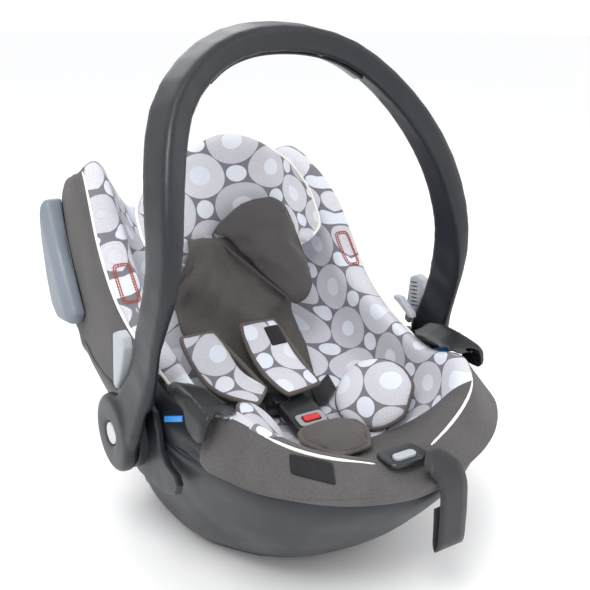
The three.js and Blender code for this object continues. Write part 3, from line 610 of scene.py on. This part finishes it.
TAUPE = cloth_material("taupe_melange", TAUPE_LIGHT, TAUPE_DEEP)
TAUPE_DARK = cloth_material("taupe_inner", "#625e5b", "#474442")
JERSEY = cloth_material("jersey", "#575353", "#444143", 0.0016, 0.35)
BINDING = cloth_material("binding", "#6b625f", "#4f4845", 0.0014, 0.5)
LINING = print_material("printed_lining", (-0.0513, 0.836))
PRINT = print_material("printed_cloth")
FOAM = cloth_material("foam", "#e4e4e0", "#d2d2cd", 0.003)
SHELL = plastic("shell_plastic", "#22242a", 0.44, 0.2)
HANDLE = plastic("handle_plastic", "#171a21", 0.4, 0.12)
BLACK = plastic("black_plastic", "#232428", 0.34, 0.1)
GLOSS = plastic("hood_plastic", "#131519", 0.38, 0.08)
LIGHT = plastic("light_plastic", "#a4a9af", 0.45, 0.12)
BLOCK = plastic("block_plastic", "#757d87", 0.4, 0.1)
BLUE = plastic("blue_plastic", "#2f86d6", 0.35, 0.06)
RED = plastic("red_plastic", "#c32e30", 0.32, 0.04)
GREY = plastic("grey_plastic", "#8f9296", 0.4, 0.08)
STEEL = metal("steel", "#b9bcc0", 0.3, (900, 60, 60))
SILVER = metal("silver", "#d2d3d5", 0.28, (80, 1200, 80))
WEBBING = webbing_material("webbing")
CORD = thread_material("piping_white", "#dedbd4")
ORANGE = thread_material("stitch_orange", "#9a3b26")
DARK_THREAD = thread_material("stitch_dark", "#3d3b38")
PLUSH = cloth_material("dark_backing", "#2b2a2c", "#1c1b1d", 0.0012)


# ---------------------------------------------------------------- places on the printed cloth
def unroll_bucket(co):
    """Lining: distance round the bucket's rim, and depth below it."""
    half, low, high = 0.14, -0.13, 0.17
    y = np.clip(co[:, 1], low, high)
    turn = np.arctan2(np.abs(co[:, 0]), np.where(co[:, 1] < low, low - co[:, 1], 1e-6))
    back = np.arctan2(np.maximum(co[:, 1] - high, 0), np.abs(co[:, 0]) + 1e-6)
    side = np.where(co[:, 1] < low, turn * half, math.pi / 2 * half + (y - low)) + back * half
    u = np.sign(co[:, 0] + 1e-9) * side
    inward = np.minimum(np.hypot(co[:, 0], np.minimum(co[:, 1] - low, 0) * 1.1), 0.16)
    return np.stack([u + 0.012, co[:, 2] * 0.95 + inward * 0.75 + 0.006], 1)


BACK_UP = np.array([0, 0.62, 0.785]) / math.hypot(0.62, 0.785)
BACK_OUT = np.array([0, -BACK_UP[2], BACK_UP[1]])
BACK_AT = np.array([0, 0.060, 0.212])


def on_back(co):
    """x across, n off the back rest and s up it."""
    d = co - BACK_AT
    return d[:, 0], d @ BACK_OUT, d @ BACK_UP


def unroll_bowl(co):
    x, n, s = on_back(co)
    lean = 0.09 * np.maximum(0, (s + 0.01) / 0.232) ** 2.2
    share = 1 - 0.6 * np.clip(np.abs(x) / 0.1, 0, 1) ** 2
    rise = n - lean * share
    u = 0.078 * np.arcsin(np.clip(np.abs(x) / 0.1, 0, 0.9)) + np.maximum(0, np.abs(x) - 0.09) * 1.5
    u = u + np.maximum(0, rise - 0.055)
    return np.stack([np.sign(x) * u + 0.014, s + lean * 0.35 + 0.021], 1)


def flat_map(a, b, offset=(0.0, 0.0)):
    a, b = np.array(a, float), np.array(b, float)

    def mapping(co):
        c = co - co.mean(0)
        return np.stack([c @ a + offset[0], c @ b + offset[1]], 1)
    return mapping


# ---------------------------------------------------------------- floor and world
def make_stage():
    """The pale floor and the white surroundings."""
    world = bpy.data.worlds.new("studio")
    scene.world = world
    world.use_nodes = True
    world.node_tree.nodes["Background"].inputs[0].default_value = (0.985, 0.99, 1.0, 1)
    world.node_tree.nodes["Background"].inputs[1].default_value = 1.04
    s = Shade("floor")
    s.set(Base_Color=s.mix(s.noise(3, 3), "#f8f8f8", "#fbfbfb"), Roughness=0.85)
    bpy.ops.mesh.primitive_plane_add(size=60, location=(0, 0, -0.0005))
    floor = bpy.context.object
    floor.name = "floor"
    floor.data.materials.append(s.mat)


make_stage()
scene.view_settings.view_transform = "Standard"


# ---------------------------------------------------------------- shell, lining and covers
def mm(*values):
    """A point given in millimetres, in metres."""
    return np.array(values, float) / 1000


def dress(node, material):
    """Keeps the CAD solid as it is and gives it its material."""
    set_material(nodes[node], material)


shell = soft("outer_shell", SHELL, "shell_plastic", angle=34)
sole = verts_of(shell.data)
sole[:, 2] = np.maximum(sole[:, 2], 0)
set_verts(shell.data, sole)
lining = soft("seat_liner", LINING, "pattern_fabric", levels=2)
skirt = soft("foot_skirt", TAUPE, "taupe_fabric", levels=3, angle=60)
head_cover = soft("head_cover", TAUPE, "taupe_fabric", levels=3, angle=60)
paint(lining, unroll_bucket)
for piece in (lining, skirt, head_cover):
    rumple(piece, 0.0009, 17, 3.0)
dress("foam_liner", FOAM)
for bar in ("base_lock_bar_front", "base_lock_bar_rear", "splitter_plate", "pivot_pin_left",
            "pivot_pin_right"):
    dress(bar, STEEL)

# ---------------------------------------------------------------- handle and the hard parts at the sides
def remeshed(mesh, voxel, rounds):
    """Closed even mesh of a solid with its edges rounded off."""
    obj = bpy.data.objects.new("remesh", mesh)
    scene.collection.objects.link(obj)
    mod = obj.modifiers.new("r", "REMESH")
    mod.mode, mod.voxel_size = "VOXEL", voxel
    smooth = obj.modifiers.new("s", "SMOOTH")
    smooth.factor, smooth.iterations = 0.5, rounds
    bpy.context.view_layer.update()
    out = evaluated(obj)
    bpy.data.objects.remove(obj)
    return out


def cylinder_mesh(radius, x0, x1, y, z, sides=96):
    angles = [2 * math.pi * k / sides for k in range(sides)]
    rings = [[(x, y + radius * math.cos(q), z + radius * math.sin(q)) for q in angles] for x in (x0, x1)]
    faces = [(k, (k + 1) % sides, sides + (k + 1) % sides, sides + k) for k in range(sides)]
    faces += [tuple(range(sides))[::-1], tuple(range(sides, 2 * sides))]
    mesh = mesh_from("cutter", rings[0] + rings[1], faces)
    bm = bmesh.new()
    bm.from_mesh(mesh)
    bmesh.ops.recalc_face_normals(bm, faces=bm.faces[:])
    bm.to_mesh(mesh)
    bm.free()
    return mesh


def cut_holes(mesh, cutters):
    """The mesh with each cutter's shape taken out of it."""
    obj = bpy.data.objects.new("holed", mesh)
    scene.collection.objects.link(obj)
    tools = []
    for shape in cutters:
        tool = bpy.data.objects.new("cutter", shape)
        scene.collection.objects.link(tool)
        tools.append(tool)
        mod = obj.modifiers.new("b", "BOOLEAN")
        mod.operation, mod.solver, mod.object = "DIFFERENCE", "EXACT", tool
    bpy.context.view_layer.update()
    out = evaluated(obj)
    for old in tools + [obj]:
        bpy.data.objects.remove(old)
    return out


HINGE_Y, HINGE_Z = -0.028, 0.154
BUTTON_HOLE = (0.0139, 0.2134, 0.24)      # radius, then inner and outer x
PIN_HOLE = (0.0093, 0.19, 0.2136)
HANDLE_VOXEL, HANDLE_ROUNDS = 0.0024, 20
holes = []
for sign in (-1, 1):
    for radius, near, far in (BUTTON_HOLE, PIN_HOLE):
        holes.append(cylinder_mesh(radius, *sorted((sign * near, sign * far)), HINGE_Y, HINGE_Z))
bow = cut_holes(remeshed(welded("handle_bow", quads=False), HANDLE_VOXEL, HANDLE_ROUNDS), holes)
handle = link("handle_bow_v", bow, "handle", "shell_plastic", ["handle_bow"])
set_material(handle, HANDLE)
handle.data.set_sharp_from_angle(angle=math.radians(50))
soft("grip_strip", BLACK, "black_plastic", body="handle", angle=50)
cover_tree = tree_of(head_cover)


BLOCK_SPLIT_X = 0.2          # the block's vertices nearer the middle than this are its inner face
BLOCK_START_X = 0.23         # rays towards the cover start outside the block
BLOCK_LEAST_X = 0.17         # the inner face stops here at the deepest
BLOCK_MISS_X = 0.175         # and here where it passes the cover's edge
BLOCK_VOXEL, BLOCK_ROUNDS = 0.0026, 14
# black tube of painted shade round each block's inner face: its radius, and its shift away from the middle
SHADE_LINE_RADIUS, SHADE_LINE_SHIFT = 0.0026, 0.0012
HOOD_VOXEL, HOOD_ROUNDS = 0.0016, 12


def make_block(side):
    """Side block whose inner face lies on the head cover, with a black tube round it as painted shade in
    the gap.
    """
    sign = 1 if side == "left" else -1
    node = "side_impact_block_" + side
    mesh = flattened(welded(node, quads=False), 1)
    co = verts_of(mesh)
    inner = np.abs(co[:, 0]) < BLOCK_SPLIT_X
    for i in np.where(inner)[0]:
        start = Vector((sign * BLOCK_START_X, co[i, 1], co[i, 2]))
        hit, _, _, _ = cover_tree.ray_cast(start, Vector((-sign, 0, 0)), 0.08)
        reach = max(abs(hit.x) + 0.001, BLOCK_LEAST_X) if hit else BLOCK_MISS_X
        co[i, 0] = sign * min(abs(co[i, 0]), reach)
    set_verts(mesh, co)
    rim = co[inner].copy()
    obj = link(node + "_v", remeshed(mesh, BLOCK_VOXEL, BLOCK_ROUNDS), "seat", "block_plastic", [node])
    set_material(obj, BLOCK)
    obj.data.shade_smooth()
    centre = rim.mean(0)
    turn = np.arctan2(rim[:, 2] - centre[2], rim[:, 1] - centre[1])
    line = rim[np.argsort(turn)]
    line[:, 0] += sign * SHADE_LINE_SHIFT
    # black tube along the rim: painted shade in the gap between block and cover
    tube("block_painted_shade_" + side, line, SHADE_LINE_RADIUS, BLACK, slot="black_plastic", closed=True, step=0.004)


def make_hood(side):
    """Hood over a vehicle belt slot, with its edges rounded off."""
    node = "belt_hood_" + side
    shape = remeshed(welded(node, quads=False), HOOD_VOXEL, HOOD_ROUNDS)
    hood = link(node + "_v", shape, "seat", "black_plastic", [node])
    set_material(hood, GLOSS)
    hood.data.shade_smooth()


for side in ("left", "right"):
    rigid("hub_housing_" + side, HANDLE, "black_plastic", bevel=0.0016)
    rigid("release_lever_" + side, LIGHT, "light_plastic", "release_lever_" + side, 0.0012)
    rigid("pivot_button_" + side, SILVER, "silver_plastic", "pivot_button_" + side, 0.0006)
    rigid("canopy_clip_" + side, LIGHT, "light_plastic", bevel=0.0012)
    make_block(side)
    rigid("belt_guide_" + side, BLUE, "blue_plastic", bevel=0.0005)
    make_hood(side)

# ---------------------------------------------------------------- headrest and inserts
dress("headrest_guide", BLACK)
rigid("headrest_shell", SHELL, "shell_plastic", "headrest")
head_pad = soft("headrest_pad", PRINT, "pattern_fabric", "headrest")
insert = soft("back_insert", TAUPE_DARK, "taupe_fabric", body=None)
paint(head_pad, unroll_bowl)
rumple(insert, 0.0045, 24, 5.0)
rumple(insert, 0.0012, 55, 2.0)


PAD_VOXEL, PAD_ROUNDS = 0.0025, 22


def cushion(node, material, slot, body="seat", rounds=0):
    mesh = subdivided(welded(node), 2)
    if rounds:
        mesh = remeshed(mesh, PAD_VOXEL, rounds)
    obj = link(node + "_v", mesh, body, slot, [node])
    set_material(obj, material)
    return obj


pillow = cushion("head_pillow", JERSEY, "jersey", "headrest")
hugger_left = cushion("hugger_wing_left", PRINT, "pattern_fabric")
hugger_right = cushion("hugger_wing_right", PRINT, "pattern_fabric")
crotch = cushion("crotch_pad", TAUPE_DARK, "taupe_fabric")
pad_left = cushion("shoulder_pad_left", PRINT, "pattern_fabric", rounds=PAD_ROUNDS)
pad_right = cushion("shoulder_pad_right", PRINT, "pattern_fabric", rounds=PAD_ROUNDS)
CUSHIONS = [pillow, hugger_left, hugger_right, crotch]


CUSHION_VOXEL = 0.0045
CUSHION_INSET = 0.0007       # drawn in by this before it is blown up
MOST_SHIFT = 0.006           # how far the simulation may move any point


def inflate(pieces, frames=20):
    """Cloth simulation of all the cushions at once, each kept near the solid it stands for."""
    started = []
    for obj in pieces:
        rest = obj.data
        shape = rest.copy()
        obj.data = shape
        remesh = obj.modifiers.new("remesh", "REMESH")
        remesh.mode, remesh.voxel_size = "VOXEL", CUSHION_VOXEL
        bpy.context.view_layer.update()
        obj.data = evaluated(obj)
        obj.modifiers.clear()
        co = verts_of(obj.data)
        normals = np.empty(len(co) * 3, np.float32)
        obj.data.vertices.foreach_get("normal", normals)
        set_verts(obj.data, co - normals.reshape(-1, 3) * CUSHION_INSET)
        cloth = obj.modifiers.new("cloth", "CLOTH")
        cloth.settings.use_pressure = True
        cloth.settings.uniform_pressure_force = 4
        cloth.settings.effector_weights.gravity = 0
        cloth.settings.quality = 4
        cloth.settings.mass = 0.2
        cloth.settings.tension_stiffness = cloth.settings.compression_stiffness = 18
        cloth.settings.bending_stiffness = 0.4
        cloth.point_cache.frame_start, cloth.point_cache.frame_end = 1, frames
        started.append(co)
    for f in range(1, frames + 1):
        scene.frame_set(f)
    for obj, before in zip(pieces, started):
        material = obj.data.materials[0]
        blown = evaluated(obj)
        obj.modifiers.clear()
        now = verts_of(blown)
        shift = now - before
        shift -= shift.mean(0)
        size = np.linalg.norm(shift, axis=1, keepdims=True)
        set_verts(blown, before + shift * np.minimum(1, MOST_SHIFT / np.maximum(size, 1e-9)))
        obj.data = subdivided(blown, 1, through=False)
        obj.data.shade_smooth()
        set_material(obj, material)
    scene.frame_set(1)


inflate(CUSHIONS)

paint(hugger_left, flat_map((0, 1, 0), (0.75, 0, 0.66), (0.012, 0.02)))
paint(hugger_right, flat_map((0, 1, 0), (-0.75, 0, 0.66), (0.03, 0.018)))
paint(pad_left, flat_map((1, 0, 0), (0, 0.7, 0.71), (0.02, 0.0)))
paint(pad_right, flat_map((0.8, 0, -0.6), (0, 0.7, 0.71), (0.004, 0.02)))

# ---------------------------------------------------------------- piping, bindings, labels and stitching
def edge_loop(obj, coordinates, weight, count=96):
    """Loop round a bowl's edge: in each direction, the vertex farthest out and up."""
    co = verts_of(obj.data)
    u, v, n = coordinates(co)
    turn, value = np.arctan2(v, u), np.hypot(u, v) + weight * n
    points = []
    for q in np.linspace(-math.pi, math.pi, count, endpoint=False):
        near = np.where(np.abs(np.angle(np.exp(1j * (turn - q)))) < 0.06)[0]
        if len(near):
            points.append(co[near[np.argmax(value[near])]])
    return smoothed(np.array(points), 3, True)


RIM_MIDDLE_Y = 0.02          # middle of the rim in plan, for angles round it
PIPING_R, BINDING_R = 0.0018, 0.0030


def plan_score(co):
    return np.hypot(co[:, 0], co[:, 1] - RIM_MIDDLE_Y) + 0.35 * co[:, 2]


def rim_points(angles, lift=0.0010):
    """The rim's outer edge at each plan angle, 0 at the foot, moved outward by lift."""
    points = smoothed(ridge(lining, (0, RIM_MIDDLE_Y), angles, plan_score, 2.0), 4)
    away = points - np.array([0, RIM_MIDDLE_Y, 0])
    away[:, 2] = 0
    away /= np.linalg.norm(away, axis=1, keepdims=True)
    return points + away * lift


ADJUSTER_GAP = (-0.033, 0.027)            # the foot piping stops here in x at the adjuster
HOOD_END_Y, HEAD_PIPING_Y = -0.192, -0.09
foot_rim = rim_points(np.arange(-75, 76, 2.5))
for name, keep in (("rim_piping_right", foot_rim[:, 0] < ADJUSTER_GAP[0]),
                   ("rim_piping_left", foot_rim[:, 0] > ADJUSTER_GAP[1])):
    line = foot_rim[keep & (foot_rim[:, 1] < HOOD_END_Y)]
    tube(name, line, PIPING_R, CORD, taper=True)
head_rim = rim_points(np.concatenate([np.arange(55, 178, 2.5), np.arange(-177, -54, 2.5)]))
tube("rim_piping_head", head_rim[head_rim[:, 1] > HEAD_PIPING_Y], PIPING_R, CORD, taper=True)

HEADREST_MIDDLE = 0.12       # how far up the back the headrest's middle is


def headrest_plan(co):
    x, n, up = on_back(co)
    return x, up - HEADREST_MIDDLE, n


pad_edge = edge_loop(head_pad, headrest_plan, 0.9)
tube("headrest_piping", pad_edge, PIPING_R, CORD, "headrest", closed=True)


def bind(obj, name, a, b, radius=BINDING_R, material=BINDING, body="seat", slot="taupe_fabric"):
    """Bound edge round a cushion, on its widest line seen along the axes a and b."""
    line = outline_of(obj, a, b, inset=0.0006)
    tube(name, line, radius, material, body, slot, closed=True)


bind(hugger_left, "hugger_binding_left", (0, 1, 0), (0.75, 0, 0.66))
bind(hugger_right, "hugger_binding_right", (0, 1, 0), (-0.75, 0, 0.66))
bind(pad_left, "pad_binding_left", (1, 0, 0.1), (0, 0.86, 0.5))
bind(pad_right, "pad_binding_right", (0.97, 0, -0.25), (0, 0.86, 0.5))
bind(crotch, "crotch_binding", (1, 0, 0), (0, 1, 0.1))
bind(pillow, "pillow_piping", (1, 0, 0), BACK_UP, 0.0016, JERSEY, "headrest", "jersey")


RAY_START = 0.05             # rays that lay things on a surface start this far off it


def stitched_patch(name, surface, centre, along, across, out, size, material):
    """Rounded rectangle of stitches sewn onto a surface."""
    tree = tree_of(surface)
    along, across, out = (np.array(v, float) / np.linalg.norm(v) for v in (along, across, out))
    points, normals = [], []
    for q in np.linspace(0, 2 * math.pi, 96, endpoint=False):
        c, d = math.cos(q), math.sin(q)
        u = math.copysign(abs(c) ** 0.35, c) * size[0] / 2
        v = math.copysign(abs(d) ** 0.35, d) * size[1] / 2
        point, normal = on_surface(tree, centre + along * u + across * v + out * RAY_START, -out, 0.0005)
        points.append(point)
        normals.append(normal)
    stitches(name, np.array(points), np.array(normals).mean(0), material,
             pitch=0.0036, length=0.0034, radius=0.0010)


def plate_on(name, surface, centre, along, across, out, size, thick, material):
    """Thin closed patch that lies on a surface, with rounded corners."""
    tree = tree_of(surface)
    along, across, out = (np.array(v, float) / np.linalg.norm(v) for v in (along, across, out))
    m, n = 16, 10
    layers = []
    for lift in (thick, -0.0004):
        for i in range(m + 1):
            for j in range(n + 1):
                u, v = 2 * i / m - 1, 2 * j / n - 1
                u, v = u * math.sqrt(1 - 0.08 * v ** 8), v * math.sqrt(1 - 0.08 * u ** 8)
                start = centre + along * u * size[0] / 2 + across * v * size[1] / 2 + out * RAY_START
                layers.append(on_surface(tree, start, -out, lift)[0])
    faces, k, base = [], n + 1, (m + 1) * (n + 1)
    for i in range(m):
        for j in range(n):
            quad = (i * k + j, i * k + j + 1, (i + 1) * k + j + 1, (i + 1) * k + j)
            faces += [quad, tuple(base + q for q in quad[::-1])]
    loop = [i * k for i in range(m)] + [m * k + j for j in range(n)]
    loop += [i * k + n for i in range(m, 0, -1)] + list(range(n, 0, -1))
    for a, b in zip(loop, loop[1:] + loop[:1]):
        faces.append((a, b, base + b, base + a))
    mesh = mesh_from(name, layers, faces)
    bm = bmesh.new()
    bm.from_mesh(mesh)
    bmesh.ops.recalc_face_normals(bm, faces=bm.faces[:])
    bm.to_mesh(mesh)
    bm.free()
    link(name, mesh).data.materials.append(material)


PATCH_SIZES = (("outer", (0.052, 0.022)), ("inner", (0.047, 0.017)))
for side, sign in (("left", 1), ("right", -1)):
    place = mm(sign * 163, 52, 302)
    for ring, size in PATCH_SIZES:
        stitched_patch("patch_" + ring + "_" + side, lining, place, (0, 0.64, 0.77), (1, 0, 0),
                       (0, -0.77, 0.64), size, ORANGE)
plate_on("skirt_tag", skirt, mm(-104, -259, 187), (45, -22, -15), (0, 0, 1), (-0.42, -0.9, 0.15),
         (0.046, 0.017), 0.0009, PLUSH)
plate_on("pad_tag", pad_left, mm(7, -7, 219), (0, 0.8, 0.6), (1, 0, 0.1), (0, -0.6, 0.8),
         (0.028, 0.024), 0.0008, PLUSH)


hem = smoothed(ridge(skirt, (0, RIM_MIDDLE_Y), np.arange(-66, 67, 3), lambda co: -co[:, 2], 2.0), 3)
tube("skirt_elastic", hem, 0.0019, DARK_THREAD, taper=True)
LEVER_RIBS, RIB_PITCH, RIB_R = 7, 0.0052, 0.0009
LOWEST_RIB = mm(203.4, -50, 239.5)
for side, sign in (("left", 1), ("right", -1)):
    for k in range(LEVER_RIBS):
        x, y, z = LOWEST_RIB + np.array([0, 0.0005, RIB_PITCH]) * k
        line = [(sign * x, y - 0.003, z + 0.001), (sign * (x - 0.0002), y + 0.004, z),
                (sign * x, y + 0.011, z - 0.001)]
        tube("lever_rib_%s_%d" % (side, k), line, RIB_R, BLACK, "release_lever_" + side,
             "black_plastic", taper=True)


# ---------------------------------------------------------------- harness, buckle and adjuster


def along_curve(points, count):
    """Centripetal Catmull-Rom curve through the points, as the CAD frame draws it."""
    p = [np.array(q, float) for q in points]
    p = [2 * p[0] - p[1]] + p + [2 * p[-1] - p[-2]]
    out = []
    spans = len(p) - 3
    for i in range(spans):
        a, b, c, d = p[i:i + 4]
        t0 = 0.0
        t1 = t0 + max(np.linalg.norm(b - a), 1e-9) ** 0.5
        t2 = t1 + max(np.linalg.norm(c - b), 1e-9) ** 0.5
        t3 = t2 + max(np.linalg.norm(d - c), 1e-9) ** 0.5
        for k in range(count + (i == spans - 1)):
            t = t1 + (t2 - t1) * k / count
            a1 = (t1 - t) / (t1 - t0) * a + (t - t0) / (t1 - t0) * b
            a2 = (t2 - t) / (t2 - t1) * b + (t - t1) / (t2 - t1) * c
            a3 = (t3 - t) / (t3 - t2) * c + (t - t2) / (t3 - t2) * d
            b1 = (t2 - t) / (t2 - t0) * a1 + (t - t0) / (t2 - t0) * a2
            b2 = (t3 - t) / (t3 - t1) * a2 + (t - t1) / (t3 - t1) * a3
            out.append((t2 - t) / (t2 - t1) * b1 + (t - t1) / (t2 - t1) * b2)
    return np.array(out)


def belt(node, points, width, side, thickness=1.7):
    """Webbing along a route in millimetres, with rounded selvedges and its own length marked on it."""
    p = along_curve(points, 16) / 1000
    tangent = np.gradient(p, axis=0)
    tangent /= np.linalg.norm(tangent, axis=1, keepdims=True)
    s = np.concatenate([[0], np.cumsum(np.linalg.norm(np.diff(p, axis=0), axis=1))])
    half, t = width / 2000, thickness / 2000
    top = [(-half, 0), (-half + t * 0.6, t), (-half * 0.5, t), (0, t), (half * 0.5, t), (half - t * 0.6, t)]
    profile = top + [(-a, -b) for a, b in top]
    verts, cloth, faces = [], [], []
    m = len(profile)
    for i, centre in enumerate(p):
        across = np.array(side, float)
        across -= tangent[i] * (across @ tangent[i])
        across /= np.linalg.norm(across)
        normal = np.cross(tangent[i], across)
        for a, b in profile:
            verts.append(centre + across * a + normal * b)
            cloth.append((a, s[i], 0))
    for i in range(len(p) - 1):
        for k in range(m):
            j = (k + 1) % m
            faces.append((i * m + k, i * m + j, (i + 1) * m + j, (i + 1) * m + k))
    faces.append(tuple(range(m))[::-1])
    faces.append(tuple((len(p) - 1) * m + k for k in range(m)))
    mesh = mesh_from(node, verts, faces)
    attribute = mesh.attributes.new("cloth", "FLOAT_VECTOR", "POINT")
    attribute.data.foreach_set("vector", np.array(cloth, np.float32).ravel())
    obj = link(node + "_v", mesh, "seat", "webbing", [node])
    obj.data.materials.append(WEBBING)
    return obj, s[-1]


belt("crotch_strap", [(-10, -119, 139.4), (-10, -125, 137.5), (-10, -131, 135.7)], 32, (1, 0, 0))
belt("shoulder_strap_right", [(-18, -53, 157.5), (-40, -42, 161)], 25, (1, 0, 0))
belt("shoulder_strap_left", [(2, -54, 160), (4, -42, 166)], 25, (1, 0, 0))
belt("lap_strap_left", [(34, -60, 150), (52, -54, 151), (74, -42, 155)], 25, (0, 0.5, 0.86))
belt("lap_strap_right", [(-44, -72, 152), (-66, -78, 156), (-100, -84, 168)], 25, (0, 0.5, 0.86))
PULL = [(10, -296, 181.5), (18, -303, 179), (27, -312.5, 169), (32, -316.5, 155), (34, -317.5, 130),
        (35, -317, 104), (35, -316, 84), (35, -312.5, 78), (35, -309.5, 84), (35, -308.5, 104),
        (34, -308.5, 128)]
pull, pull_length = belt("adjuster_strap", PULL, 37, (1, 0, 0))
for node, material, slot, body in (
        ("buckle_housing", BLACK, "black_plastic", "seat"),
        ("buckle_cover", GREY, "light_plastic", "seat"),
        ("buckle_button", RED, "red_plastic", "buckle_button"),
        ("buckle_tongue_left", BLACK, "black_plastic", "seat"),
        ("buckle_tongue_right", BLACK, "black_plastic", "seat"),
        ("adjuster_housing", BLACK, "black_plastic", "seat"),
        ("adjuster_button", LIGHT, "light_plastic", "adjuster_button")):
    rigid(node, material, slot, body, 0.0008)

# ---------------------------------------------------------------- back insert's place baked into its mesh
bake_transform(insert)
